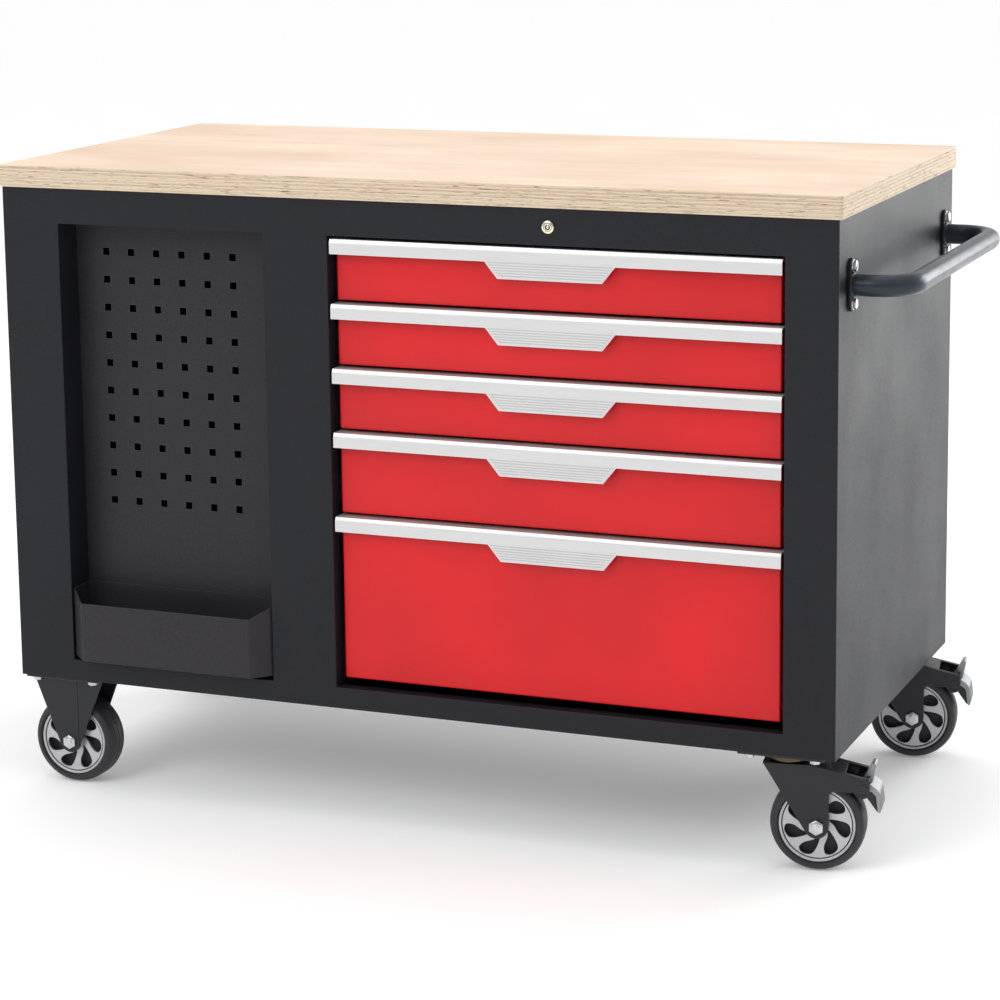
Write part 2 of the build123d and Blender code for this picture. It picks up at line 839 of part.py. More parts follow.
def make_swivel_fork(row):
    """Turning fork: crown, two cheeks and the rear arms that carry the brake."""
    y = caster_rows[row]
    plane = side_plane(swivel_x, y, swivel_rest)
    crown_top = cab_floor - crown_drop
    arm_top = cab_floor - arm_end_drop
    arm_low = arm_top - arm_depth
    half_out = fork_gap / 2 + fork_sheet
    toe_x, toe_z = axle_tangent(swivel_trail, -crown_radius, crown_top, 1)
    with BuildPart() as swivel_fork:
        for start in (fork_gap / 2, -half_out):
            with BuildSketch(plane.offset(start)):
                with BuildLine():
                    Polyline(
                        (-crown_radius, crown_top),
                        (toe_x, toe_z),
                        (swivel_trail + fork_end, axle_z),
                        (swivel_trail + fork_end, arm_low),
                        (arm_reach, arm_low),
                        (arm_reach, arm_top),
                        (crown_radius, crown_top),
                        close=True,
                    )
                make_face()
                with Locations((swivel_trail, axle_z)):
                    Circle(fork_end)
                    Circle(axle_size / 2 + running_clear, mode=Mode.SUBTRACT)
                with Locations((brake_pin_reach, cab_floor - brake_pin_drop)):
                    Circle(brake_pin_size / 2 + running_clear, mode=Mode.SUBTRACT)
            extrude(amount=fork_sheet)
        with BuildSketch(plane):
            with BuildLine():
                Polyline(
                    (-crown_radius, crown_top),
                    (crown_radius, crown_top),
                    (arm_reach, arm_top),
                    (arm_reach, arm_top - fork_sheet),
                    (crown_radius, crown_top - fork_sheet),
                    (-crown_radius, crown_top - fork_sheet),
                    close=True,
                )
            make_face()
        extrude(amount=fork_gap / 2, both=True)
        with BuildSketch(top_plane(swivel_x, y, crown_top, swivel_rest)):
            Circle(kingpin_size / 2 + running_clear)
            with Locations((arm_reach - brake_cam, 0)):
                Rectangle(2 * brake_cam + fork_sheet, brake_width + fork_sheet)
        extrude(amount=-(arm_end_drop - crown_drop + 2 * fork_sheet), mode=Mode.SUBTRACT)
    keep(swivel_fork, "swivel_fork_" + row)


def make_brake(row):
    """Rocker pedal with an eccentric shoe, on a pin between the fork's arms."""
    plane = side_plane(swivel_x, caster_rows[row], swivel_rest)
    pin_x = brake_pin_reach
    pin_z = cab_floor - brake_pin_drop
    half_out = fork_gap / 2 + fork_sheet
    with BuildPart() as brake_pin:
        with BuildSketch(plane):
            with Locations((pin_x, pin_z)):
                Circle(brake_pin_size / 2)
        extrude(amount=half_out + fork_sheet / 2, both=True)
    keep(brake_pin, "brake_pin_" + row)

    away = atan2(axle_z - pin_z, swivel_trail - pin_x)
    aim = away + radians(brake_travel)
    clear = hypot(axle_z - pin_z, swivel_trail - pin_x) - wheel_radius
    cam_offset = clear - brake_gap - brake_cam
    with BuildPart() as brake_pedal:
        with BuildSketch(plane):
            with Locations((pin_x, pin_z)):
                Circle(brake_hub)
            with Locations((pin_x + cam_offset * cos(aim), pin_z + cam_offset * sin(aim))):
                Circle(brake_cam)
            with BuildLine():
                Polyline(
                    (pin_x, pin_z + brake_hub),
                    (pin_x + pedal_tab_reach, pin_z + pedal_tab_rise),
                    (pin_x + pedal_tab_reach + pedal_sheet, pin_z + pedal_tab_rise - pedal_step),
                    (pin_x + brake_hub + pedal_sheet, pin_z + pedal_step),
                    (pin_x + pedal_shoulder_reach, pin_z - pedal_shoulder_drop),
                    (pin_x + pedal_pad_reach, pin_z - pedal_pad_drop),
                    (pin_x + pedal_pad_reach - pedal_sheet, pin_z - pedal_pad_drop - pedal_step),
                    (pin_x + pedal_shoulder_reach - pedal_sheet, pin_z - 2 * brake_hub),
                    (pin_x, pin_z - brake_hub),
                    close=True,
                )
            make_face()
            with Locations((pin_x, pin_z)):
                Circle(brake_pin_size / 2 + running_clear, mode=Mode.SUBTRACT)
        extrude(amount=brake_width / 2, both=True)
    keep(brake_pedal, "brake_pedal_" + row)


# ---- build ----
os.makedirs("parts", exist_ok=True)
make_worktop()
make_front_frame()
make_side_panel("side_panel_left", cab_left, cab_left + sheet)
make_side_panel("side_panel_right", cab_right, cab_right - sheet)
make_back_panel()
make_base_panel()
make_drawer_wall("drawer_wall_left", open_left, -1)
make_drawer_wall("drawer_wall_right", open_right, 1)
make_perforated_panel()
make_tool_tray()
make_slide_rails()
for drawer in range(len(shares)):
    make_drawer_box(drawer)
    make_drawer_front(drawer)
    make_drawer_pull(drawer)
    make_drawer_runners(drawer)
make_lock()
make_handle()
make_caster_bolts()
make_swivel_plate()
for caster_row in caster_rows:
    make_fixed_fork(caster_row)
    fixed_plane = side_plane(fixed_x, caster_rows[caster_row], 0)
    make_axle("fixed_axle_" + caster_row, fixed_plane, 0)
    make_wheel("left_" + caster_row, fixed_plane, 0)
    make_swivel_fork(caster_row)
    turned_plane = side_plane(swivel_x, caster_rows[caster_row], swivel_rest)
    make_axle("swivel_axle_" + caster_row, turned_plane, swivel_trail)
    make_wheel("right_" + caster_row, turned_plane, swivel_trail)
    make_brake(caster_row)
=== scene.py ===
import json
from math import atan2, cos, degrees, hypot, pi, radians, sin

import bmesh
import bpy
from mathutils import Matrix, Vector


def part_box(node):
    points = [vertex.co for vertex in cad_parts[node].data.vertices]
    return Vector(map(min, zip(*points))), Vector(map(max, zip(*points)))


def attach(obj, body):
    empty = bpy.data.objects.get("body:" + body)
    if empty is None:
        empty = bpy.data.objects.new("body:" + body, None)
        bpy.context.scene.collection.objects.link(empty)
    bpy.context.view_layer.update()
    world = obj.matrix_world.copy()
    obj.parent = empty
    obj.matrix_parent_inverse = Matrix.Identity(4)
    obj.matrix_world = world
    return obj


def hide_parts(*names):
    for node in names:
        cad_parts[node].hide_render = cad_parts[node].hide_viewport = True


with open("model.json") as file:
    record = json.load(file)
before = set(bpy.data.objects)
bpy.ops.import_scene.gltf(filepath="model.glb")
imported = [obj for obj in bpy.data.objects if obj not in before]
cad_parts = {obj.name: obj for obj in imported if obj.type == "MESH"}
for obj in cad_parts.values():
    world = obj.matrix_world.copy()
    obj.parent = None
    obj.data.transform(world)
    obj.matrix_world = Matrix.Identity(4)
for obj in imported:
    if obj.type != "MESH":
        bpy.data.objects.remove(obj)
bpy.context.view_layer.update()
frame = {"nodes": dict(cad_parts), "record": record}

bl_info = {
    "name": "Mobile Workbench",
    "version": (1, 0, 0),
    "blender": (4, 5, 0),
    "location": "View3D > Sidebar > Bench",
    "description": "Builds the finish pieces, materials and studio of a wheeled workbench",
    "category": "Object",
}

DRAWERS = range(1, 6)
ROWS = ("front", "rear")
ROUND_STEPS = 64
DISC_STEPS = 96


# ---- settings ----
class BenchSizes(bpy.types.PropertyGroup):
    """Sizes of the details that the frame doesn't hold."""
    sheet: bpy.props.FloatProperty(
        name="Sheet", description="Thickness of the cabinet steel", default=0.0015, unit="LENGTH")
    fold_radius: bpy.props.FloatProperty(
        name="Fold radius", description="Outside radius of folded sheet edges", default=0.0016, unit="LENGTH")
    bay_depth: bpy.props.FloatProperty(
        name="Bay depth", description="Depth of the tool bay's side returns", default=0.05, unit="LENGTH")
    drawer_return: bpy.props.FloatProperty(
        name="Drawer return", description="Depth of the returns round the drawers", default=0.02, unit="LENGTH")
    tray_clear: bpy.props.FloatProperty(
        name="Tray clearance", description="Gap between the tray and the bay's sides", default=0.0005,
        unit="LENGTH")
    tray_wing: bpy.props.FloatProperty(
        name="Tray wing", description="Reach of the tray's slanted corners", default=0.025, unit="LENGTH")
    tray_front: bpy.props.FloatProperty(
        name="Tray front", description="Height of the tray's front wall", default=0.083, unit="LENGTH")
    drawer_top_gap: bpy.props.FloatProperty(
        name="Top gap", description="Gap above the first drawer", default=0.004, unit="LENGTH")
    drawer_bottom_gap: bpy.props.FloatProperty(
        name="Bottom gap", description="Gap below the last drawer", default=0.011, unit="LENGTH")
    worktop_corner: bpy.props.FloatProperty(
        name="Worktop corner", description="Radius of the worktop's upright edges", default=0.006,
        unit="LENGTH")
    worktop_ease: bpy.props.FloatProperty(
        name="Worktop easing", description="Easing of the worktop's level edges", default=0.0014,
        unit="LENGTH")
    ply_layer: bpy.props.FloatProperty(
        name="Ply", description="Thickness of one veneer layer", default=0.0023, unit="LENGTH")
    pull_height: bpy.props.FloatProperty(
        name="Pull height", description="Height of the pull strip", default=0.02, unit="LENGTH")
    pull_sheet: bpy.props.FloatProperty(
        name="Pull wall", description="Thickness of the pull strip", default=0.0025, unit="LENGTH")
    pull_bevel: bpy.props.FloatProperty(
        name="Pull slope", description="Height of the slope along the pull's upper edge", default=0.0052,
        unit="LENGTH")
    pull_lean: bpy.props.FloatProperty(
        name="Pull lean", description="How far the slope leans back", default=0.0021, unit="LENGTH")
    tab_top: bpy.props.FloatProperty(
        name="Tab top", description="Width of the tab where it leaves the strip", default=0.18, unit="LENGTH")
    tab_low: bpy.props.FloatProperty(
        name="Tab low", description="Width of the tab's lower edge", default=0.144, unit="LENGTH")
    rib_pitch: bpy.props.FloatProperty(
        name="Rib pitch", description="Spacing of the tab's ribs", default=0.0034, unit="LENGTH")
    tube_radius: bpy.props.FloatProperty(
        name="Handle tube", description="Radius of the push handle's tube", default=0.014, unit="LENGTH")
    tube_bend: bpy.props.FloatProperty(
        name="Handle bend", description="Centre line radius of the handle's bends", default=0.045,
        unit="LENGTH")
    bolt_flats: bpy.props.FloatProperty(
        name="Bolt head", description="Width across flats of the small bolts", default=0.013, unit="LENGTH")
    axle_flats: bpy.props.FloatProperty(
        name="Axle head", description="Width across flats of the axle heads", default=0.0192, unit="LENGTH")
    axle_head: bpy.props.FloatProperty(
        name="Axle head height", description="Height of an axle's head or nut", default=0.007, unit="LENGTH")
    fork_sheet: bpy.props.FloatProperty(
        name="Fork sheet", description="Thickness of the caster forks", default=0.003, unit="LENGTH")
    fork_end: bpy.props.FloatProperty(
        name="Fork end", description="Radius of a cheek's lower end", default=0.016, unit="LENGTH")
    crown_radius: bpy.props.FloatProperty(
        name="Crown", description="Radius of the swivel fork's crown", default=0.032, unit="LENGTH")
    arm_depth: bpy.props.FloatProperty(
        name="Brake arm", description="Depth of the swivel fork's rear arms", default=0.018, unit="LENGTH")
    hub_radius: bpy.props.FloatProperty(
        name="Hub", description="Radius of a wheel's hub", default=0.014, unit="LENGTH")
    rim_band: bpy.props.FloatProperty(
        name="Rim band", description="Width of a wheel disc's outer band", default=0.005, unit="LENGTH")
    spoke_gaps: bpy.props.IntProperty(
        name="Spoke gaps", description="Openings round a wheel disc", default=7)
    spoke_tip: bpy.props.FloatProperty(
        name="Gap tip", description="Where an opening starts, as a share of the rim's radius", default=0.31)
    spoke_heel: bpy.props.FloatProperty(
        name="Gap heel", description="Where an opening ends, as a share of the rim's radius", default=0.87)
    spoke_sweep: bpy.props.FloatProperty(
        name="Gap sweep", description="How far an opening's tip leans", subtype="ANGLE",
        default=radians(26))
    spoke_spread: bpy.props.FloatProperty(
        name="Gap spread", description="How far an opening's heel spreads", subtype="ANGLE",
        default=radians(23))


class BenchColours(bpy.types.PropertyGroup):
    """Base colours of the finishes."""
    veneer: bpy.props.FloatVectorProperty(
        name="Veneer", description="Face of the plywood", subtype="COLOR", default=(0.78, 0.61, 0.47))
    black: bpy.props.FloatVectorProperty(
        name="Black", description="Powder coat on the cabinet", subtype="COLOR", default=(0.0075, 0.0080, 0.0112))
    # Lighter copy of the cabinet black, painted light: the tray, its hem and the perforated panel are lightened to
    # stand in for how light falls in the bay.
    bay_black_painted_light: bpy.props.FloatVectorProperty(
        name="Bay black", description="Powder coat on the tool bay's parts", subtype="COLOR",
        default=(0.0185, 0.0172, 0.0210))
    red: bpy.props.FloatVectorProperty(
        name="Red", description="Paint on the drawer fronts", subtype="COLOR", default=(0.64, 0.006, 0.010))
    silver: bpy.props.FloatVectorProperty(
        name="Silver", description="Anodised pull strips", subtype="COLOR", default=(0.66, 0.66, 0.665))
    zinc: bpy.props.FloatVectorProperty(
        name="Zinc", description="Plated fasteners", subtype="COLOR", default=(0.58, 0.59, 0.61))
    graphite: bpy.props.FloatVectorProperty(
        name="Graphite", description="Paint on the push handle", subtype="COLOR", default=(0.030, 0.038, 0.050))
    wheel: bpy.props.FloatVectorProperty(
        name="Wheel", description="Wheel discs", subtype="COLOR", default=(0.50, 0.495, 0.51))
    rubber: bpy.props.FloatVectorProperty(
        name="Rubber", description="Tyres", subtype="COLOR", default=(0.018, 0.018, 0.021))
    brass: bpy.props.FloatVectorProperty(
        name="Lock", description="Plated lock parts", subtype="COLOR", default=(0.80, 0.74, 0.58))
    floor: bpy.props.FloatVectorProperty(
        name="Floor", description="Studio floor", subtype="COLOR", default=(0.90, 0.90, 0.90))


# ---- places read from the frame ----
def low(node):
    return Vector(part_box(node)[0])


def high(node):
    return Vector(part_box(node)[1])


def joint(name):
    """A joint's place and axis at rest."""
    for found in frame["record"]["behaviour"]["joints"]:
        if found["name"] == name:
            return Vector(found["pos_m"]), Vector(found["axis"]).normalized()
    raise KeyError(name)


def sizes():
    return bpy.context.scene.bench_sizes


def colours():
    return bpy.context.scene.bench_colours


# ---- material building ----
def new_material(name):
    material = bpy.data.materials.new(name)
    material.use_nodes = True
    tree = material.node_tree
    return material, tree, tree.nodes["Principled BSDF"]


def add_node(tree, kind, settings=None, sockets=None):
    """Adds a node; a socket value that is itself a socket is linked."""
    made = tree.nodes.new(kind)
    for name, value in (settings or {}).items():
        setattr(made, name, value)
    for name, value in (sockets or {}).items():
        if isinstance(value, bpy.types.NodeSocket):
            tree.links.new(value, made.inputs[name])
        else:
            made.inputs[name].default_value = value
    return made


def object_place(tree, stretch=(1, 1, 1)):
    """Object coordinates, stretched along the axes."""
    place = add_node(tree, "ShaderNodeTexCoord").outputs["Object"]
    return add_node(tree, "ShaderNodeMapping", sockets={"Vector": place, "Scale": stretch}).outputs[0]


def noise(tree, place, scale, detail=2.0, roughness=0.5):
    sockets = {"Vector": place, "Scale": scale, "Detail": detail, "Roughness": roughness}
    return add_node(tree, "ShaderNodeTexNoise", sockets=sockets).outputs["Fac"]


def ranged(tree, value, low_in, high_in, low_out, high_out):
    sockets = {"Value": value, "From Min": low_in, "From Max": high_in, "To Min": low_out, "To Max": high_out}
    return add_node(tree, "ShaderNodeMapRange", sockets=sockets).outputs["Result"]


def math(tree, operation, first, second=0.0):
    made = add_node(tree, "ShaderNodeMath", {"operation": operation}, {0: first, 1: second})
    return made.outputs[0]


def mixed(tree, amount, first, second, blend="MIX"):
    """Blends two colours by an amount."""
    made = tree.nodes.new("ShaderNodeMix")
    made.data_type = "RGBA"
    made.blend_type = blend
    for index, value in ((0, amount), (6, first), (7, second)):
        if isinstance(value, bpy.types.NodeSocket):
            tree.links.new(value, made.inputs[index])
        else:
            made.inputs[index].default_value = value
    return made.outputs[2]


def worn_and_highlit_edges(tree, radius, strength):
    """How far a point is on an outside edge, from the difference a rounded normal makes; the finishes lighten these
    edges for worn paint and as a painted highlight.
    """
    rounded = add_node(tree, "ShaderNodeBevel", {"samples": 4}, {"Radius": radius}).outputs[0]
    plain = add_node(tree, "ShaderNodeNewGeometry").outputs["Normal"]
    match = add_node(tree, "ShaderNodeVectorMath", {"operation": "DOT_PRODUCT"}, {0: rounded, 1: plain})
    return ranged(tree, match.outputs["Value"], 0.96, 0.75, 0.0, strength)


def bumped(tree, surface, height, strength, distance):
    """Feeds a height into the surface's normal."""
    sockets = {"Height": height, "Strength": strength, "Distance": distance}
    tree.links.new(add_node(tree, "ShaderNodeBump", sockets=sockets).outputs[0], surface.inputs["Normal"])


def shade(colour, factor):
    return tuple(min(channel * factor, 1.0) for channel in colour) + (1.0,)


def solid_colour(colour):
    return tuple(colour) + (1.0,)


# ---- materials ----
def powder_coat(name, colour, roughness, grain=460.0, relief=0.5, wear_and_highlight=0.25, gloss=0.0):
    """Textured paint: a fine pebbled skin, slow changes of sheen and paler, smoother edges; the paler edges are
    worn paint and a painted edge highlight.
    """
    material, tree, surface = new_material(name)
    place = object_place(tree)
    pebbles = noise(tree, place, grain, 3.0)
    slow = noise(tree, place, 7.0, 4.0)
    tone = mixed(tree, ranged(tree, slow, 0.3, 0.7, 0.0, 1.0), shade(colour, 0.86), shade(colour, 1.16))
    speck = mixed(tree, ranged(tree, pebbles, 0.35, 0.7, 0.0, 1.0), tone, shade(colour, 1.5))
    # Paler edges: worn paint and a painted highlight along the edges.
    edge = worn_and_highlit_edges(tree, 0.0016, wear_and_highlight)
    final = mixed(tree, edge, speck, shade([max(channel, 0.03) for channel in colour], 3.2))
    tree.links.new(final, surface.inputs["Base Color"])
    spread = math(tree, "ADD", ranged(tree, slow, 0.3, 0.7, roughness - 0.05, roughness + 0.05),
                  ranged(tree, pebbles, 0.3, 0.7, -0.04, 0.04))
    tree.links.new(spread, surface.inputs["Roughness"])
    surface.inputs["Specular IOR Level"].default_value = 0.26
    surface.inputs["Coat Weight"].default_value = gloss
    surface.inputs["Coat Roughness"].default_value = 0.16
    bumped(tree, surface, pebbles, relief, 0.0004)
    return material


def gloss_paint(name, colour, roughness, metallic=0.0, specular=0.3):
    """Smooth stoved enamel with a little orange peel and faint handling marks."""
    material, tree, surface = new_material(name)
    place = object_place(tree)
    peel = noise(tree, place, 420.0, 2.0)
    slow = noise(tree, place, 5.0, 3.0)
    smears = noise(tree, object_place(tree, (1.0, 1.0, 6.0)), 26.0, 5.0, 0.6)
    tone = mixed(tree, ranged(tree, slow, 0.3, 0.7, 0.0, 1.0), shade(colour, 0.9), shade(colour, 1.1))
    # Paler edges: worn enamel and a painted highlight along the edges.
    edge = worn_and_highlit_edges(tree, 0.0014, 0.3)
    tree.links.new(mixed(tree, edge, tone, shade(colour, 1.5)), surface.inputs["Base Color"])
    tree.links.new(ranged(tree, smears, 0.3, 0.7, roughness - 0.05, roughness + 0.07),
                   surface.inputs["Roughness"])
    surface.inputs["Metallic"].default_value = metallic
    surface.inputs["Specular IOR Level"].default_value = specular
    surface.inputs["Coat Weight"].default_value = 0.1
    surface.inputs["Coat Roughness"].default_value = 0.2
    bumped(tree, surface, peel, 0.12, 0.0004)
    return material


def brushed_metal(name, colour, roughness, stretch, metallic=1.0, scratch=0.25):
    """Metal with fine lines along one axis and duller patches."""
    material, tree, surface = new_material(name)
    lines = noise(tree, object_place(tree, stretch), 900.0, 3.0, 0.6)
    patches = noise(tree, object_place(tree), 18.0, 4.0)
    tone = mixed(tree, ranged(tree, lines, 0.3, 0.7, 0.0, 1.0), shade(colour, 0.95), shade(colour, 1.05))
    # Paler edges: worn metal and a painted highlight along the edges.
    edge = worn_and_highlit_edges(tree, 0.001, 0.5)
    tree.links.new(mixed(tree, edge, tone, shade(colour, 1.35)), surface.inputs["Base Color"])
    spread = math(tree, "ADD", ranged(tree, patches, 0.3, 0.7, roughness - 0.06, roughness + 0.06),
                  ranged(tree, lines, 0.3, 0.7, -0.05, 0.05))
    tree.links.new(spread, surface.inputs["Roughness"])
    surface.inputs["Metallic"].default_value = metallic
    bumped(tree, surface, lines, scratch, 0.0001)
    return material


def tyre_rubber(name, colour):
    """Matt rubber with a dusty bloom."""
    material, tree, surface = new_material(name)
    place = object_place(tree)
    grain = noise(tree, place, 1400.0, 3.0)
    dust = noise(tree, place, 45.0, 5.0, 0.6)
    tone = mixed(tree, ranged(tree, dust, 0.45, 0.8, 0.0, 0.5), solid_colour(colour), shade(colour, 2.4))
    tree.links.new(tone, surface.inputs["Base Color"])
    tree.links.new(ranged(tree, dust, 0.3, 0.7, 0.5, 0.68), surface.inputs["Roughness"])
    bumped(tree, surface, grain, 0.25, 0.0003)
    return material


def plywood(name, colour, layer, base_z):
    """Birch board: long grain on the faces and stacked plies with dark glue lines on the edges."""
    material, tree, surface = new_material(name)
    coordinates = add_node(tree, "ShaderNodeTexCoord")
    place = coordinates.outputs["Object"]
    cloudy = noise(tree, object_place(tree, (1.0, 2.2, 1.0)), 3.2, 5.0, 0.55)
    rings = noise(tree, object_place(tree, (1.0, 9.0, 1.0)), 4.0, 6.0, 0.6)
    fibre = noise(tree, object_place(tree, (1.0, 28.0, 1.0)), 60.0, 5.0, 0.65)
    pale = shade(colour, 1.12)
    warm = (colour[0] * 0.93, colour[1] * 0.84, colour[2] * 0.76, 1.0)
    face = mixed(tree, ranged(tree, cloudy, 0.35, 0.65, 0.0, 1.0), pale, warm)
    face = mixed(tree, ranged(tree, rings, 0.42, 0.62, 0.0, 0.35), face, shade(colour, 0.80))
    face = mixed(tree, ranged(tree, fibre, 0.45, 0.75, 0.0, 0.30), face, shade(colour, 0.72))

    up = add_node(tree, "ShaderNodeSeparateXYZ", sockets={0: place}).outputs["Z"]
    wander = noise(tree, object_place(tree), 9.0, 2.0)
    height = math(tree, "ADD", math(tree, "SUBTRACT", up, base_z), ranged(tree, wander, 0, 1, -0.0009, 0.0009))
    count = math(tree, "DIVIDE", height, layer)
    within = math(tree, "FRACT", count)
    turn = math(tree, "MODULO", math(tree, "FLOOR", count), 2.0)
    end_grain = noise(tree, object_place(tree, (1.0, 1.0, 14.0)), 130.0, 4.0, 0.7)
    sheets = noise(tree, object_place(tree, (0.6, 0.6, 130.0)), 3.0, 2.0)
    streaks = noise(tree, object_place(tree, (1.0, 1.0, 24.0)), 42.0, 2.0, 0.6)
    breaks = noise(tree, object_place(tree, (1.0, 1.0, 9.0)), 24.0, 3.0)
    along = mixed(tree, ranged(tree, end_grain, 0.3, 0.7, 0, 1), (0.75, 0.63, 0.48, 1), (0.63, 0.50, 0.36, 1))
    across = mixed(tree, ranged(tree, end_grain, 0.3, 0.7, 0, 1), (0.56, 0.44, 0.32, 1), (0.42, 0.31, 0.21, 1))
    plies = mixed(tree, math(tree, "MULTIPLY", turn, ranged(tree, sheets, 0.35, 0.65, 0.15, 1.0)), along, across)
    plies = mixed(tree, ranged(tree, streaks, 0.61, 0.66, 0.0, 0.85), plies, (0.15, 0.08, 0.045, 1))
    glue = math(tree, "LESS_THAN", within, 0.13)
    line = math(tree, "MULTIPLY", glue, ranged(tree, breaks, 0.40, 0.62, 0.08, 0.70))
    plies = mixed(tree, line, plies, (0.22, 0.13, 0.075, 1))

    facing = add_node(tree, "ShaderNodeSeparateXYZ", sockets={0: coordinates.outputs["Normal"]}).outputs["Z"]
    on_face = ranged(tree, math(tree, "ABSOLUTE", facing), 0.45, 0.75, 0.0, 1.0)
    tree.links.new(mixed(tree, on_face, plies, face), surface.inputs["Base Color"])
    dry = ranged(tree, fibre, 0.3, 0.7, 0.42, 0.56)
    rough = math(tree, "ADD", dry, math(tree, "MULTIPLY", math(tree, "SUBTRACT", 1.0, on_face), 0.2))
    tree.links.new(rough, surface.inputs["Roughness"])
    relief = math(tree, "SUBTRACT", fibre, math(tree, "MULTIPLY", glue, 0.6))
    bumped(tree, surface, relief, 0.18, 0.0003)
    return material


def studio_paper(name, colour):
    material, tree, surface = new_material(name)
    mottle = noise(tree, object_place(tree), 3.0, 3.0)
    tone = mixed(tree, ranged(tree, mottle, 0.3, 0.7, 0, 1), shade(colour, 0.99), shade(colour, 1.01))
    tree.links.new(tone, surface.inputs["Base Color"])
    surface.inputs["Roughness"].default_value = 0.85
    surface.inputs["Specular IOR Level"].default_value = 0.1
    surface.inputs["Emission Color"].default_value = (1.0, 1.0, 1.0, 1.0)
    surface.inputs["Emission Strength"].default_value = 0.17
    return material


finishes = {}


def finish(name):
    """Makes each finish once, when first asked for."""
    if name in finishes:
        return finishes[name]
    tint = colours()
    makers = {
        "black": lambda: powder_coat("black_powder_coat", tint.black, 0.46),
        # Painted light: the bay parts get a lighter black and paler edges than the cabinet.
        "bay_black_painted_light": lambda: powder_coat("bay_black_painted_light", tint.bay_black_painted_light, 0.44, wear_and_highlight=0.5),
        # Forks get strongly paler edges: a painted highlight along the cheek edges as well as wear.
        "fork_black": lambda: powder_coat("fork_black", tint.black, 0.44, 600.0, 0.25, 0.8, 0.3),
        "inner_black": lambda: powder_coat("inner_black", shade(tint.black, 1.2)[:3], 0.55, 700.0, 0.25, 0.1),
        "graphite": lambda: gloss_paint("handle_graphite", tint.graphite, 0.32, 0.4, 0.15),
        "red": lambda: gloss_paint("red_enamel", tint.red, 0.34),
        "silver": lambda: brushed_metal("pull_silver", tint.silver, 0.42, (0.02, 2.5, 2.5), 0.55, 0.05),
        # Darker silver for the plates behind the pull ribs: painted shade in the grooves.
        "valley_shade": lambda: brushed_metal("pull_valley_painted_shade", shade(tint.silver, 0.80)[:3], 0.5, (0.02, 2.5, 2.5), 0.55,
                                        0.05),
        "zinc": lambda: brushed_metal("zinc_plate", tint.zinc, 0.30, (1, 1, 0.1), 1.0, 0.1),
        "slide_zinc": lambda: brushed_metal("slide_zinc", tint.zinc, 0.38, (1, 0.02, 1), 1.0, 0.1),
        "brass": lambda: brushed_metal("lock_plate", tint.brass, 0.18, (1, 1, 0.3), 1.0, 0.05),
        "wheel": lambda: brushed_metal("wheel_silver", tint.wheel, 0.36, (1, 1, 1), 0.5, 0.05),
        "pedal": lambda: brushed_metal("pedal_casting", shade(tint.zinc, 0.50)[:3], 0.46, (1, 1, 1), 0.6, 0.5),
        # Dark brown, dull metal on the swivel races, much darker than the zinc parts.
        "race": lambda: brushed_metal("race_dark_brown", (0.12, 0.085, 0.05), 0.40, (1, 1, 0.1), 0.9, 0.2),
        "rubber": lambda: tyre_rubber("tyre_rubber", tint.rubber),
        "wood": lambda: plywood("birch_plywood", tint.veneer, sizes().ply_layer, low("worktop").z),
        "floor": lambda: studio_paper("studio_floor", tint.floor),
    }
    finishes[name] = makers[name]()
    return finishes[name]


def recoat(node, name):
    """Gives a carried-over CAD node one of the finishes."""
    slots = frame["nodes"][node].material_slots
    for slot in slots:
        slot.material = finish(name)


# ---- mesh building ----
def block(bm, low_corner, high_corner):
    """Adds a block between two corners and returns its vertices."""
    low_corner, high_corner = Vector(low_corner), Vector(high_corner)
    made = bmesh.ops.create_cube(bm, size=1.0)["verts"]
    bmesh.ops.scale(bm, verts=made, vec=high_corner - low_corner)
    bmesh.ops.translate(bm, verts=made, vec=(low_corner + high_corner) / 2)
    return made


def thick_outline(bm, points, push):
    """Fills an outline and pushes it into a plate."""
    face = bm.faces.new([bm.verts.new(point) for point in points])
    grown = bmesh.ops.extrude_face_region(bm, geom=[face])["geom"]
    moved = [item for item in grown if isinstance(item, bmesh.types.BMVert)]
    bmesh.ops.translate(bm, verts=moved, vec=push)


def turned(bm, profile, centre, axis, steps=ROUND_STEPS):
    """Spins a profile of (distance out, distance along) pairs right round an axis."""
    axis = axis.normalized()
    out = axis.orthogonal().normalized()
    points = [bm.verts.new(centre + out * reach + axis * along) for reach, along in profile]
    edges = [bm.edges.new(pair) for pair in zip(points, points[1:])]
    bmesh.ops.spin(bm, geom=points + edges, cent=centre, axis=axis, angle=2 * pi, steps=steps,
                   use_merge=True, use_duplicate=False)


def hexagon(bm, centre, axis, across_flats, height, steps=6):
    """A bolt head with a chamfered crown and a washer face."""
    axis = axis.normalized()
    turn = axis.to_track_quat("Z", "Y").to_matrix().to_4x4()
    radius = across_flats / 3 ** 0.5
    rings = ((radius, 0.0), (radius, height * 0.82), (radius * 0.84, height), (radius * 0.5, height * 1.02))
    last = bmesh.ops.create_circle(bm, cap_ends=False, segments=steps, radius=rings[0][0],
                                   matrix=Matrix.Translation(centre) @ turn)["verts"]
    edges = list({edge for vert in last for edge in vert.link_edges})
    for (before, rise_before), (reach, rise) in zip(rings, rings[1:]):
        grown = bmesh.ops.extrude_edge_only(bm, edges=edges)["geom"]
        ring = [item for item in grown if isinstance(item, bmesh.types.BMVert)]
        edges = [item for item in grown if isinstance(item, bmesh.types.BMEdge)]
        bmesh.ops.translate(bm, verts=ring, vec=axis * (rise - rise_before))
        middle = centre + axis * rise
        for vert in ring:
            vert.co = middle + (vert.co - middle) * (reach / before)
    bmesh.ops.holes_fill(bm, edges=bm.edges, sides=0)


def arc(centre, radius, start, end, steps):
    """Points (across, up) along an arc, angles in degrees."""
    turns = [radians(start + (end - start) * step / steps) for step in range(steps + 1)]
    return [(centre[0] + radius * cos(turn), centre[1] + radius * sin(turn)) for turn in turns]


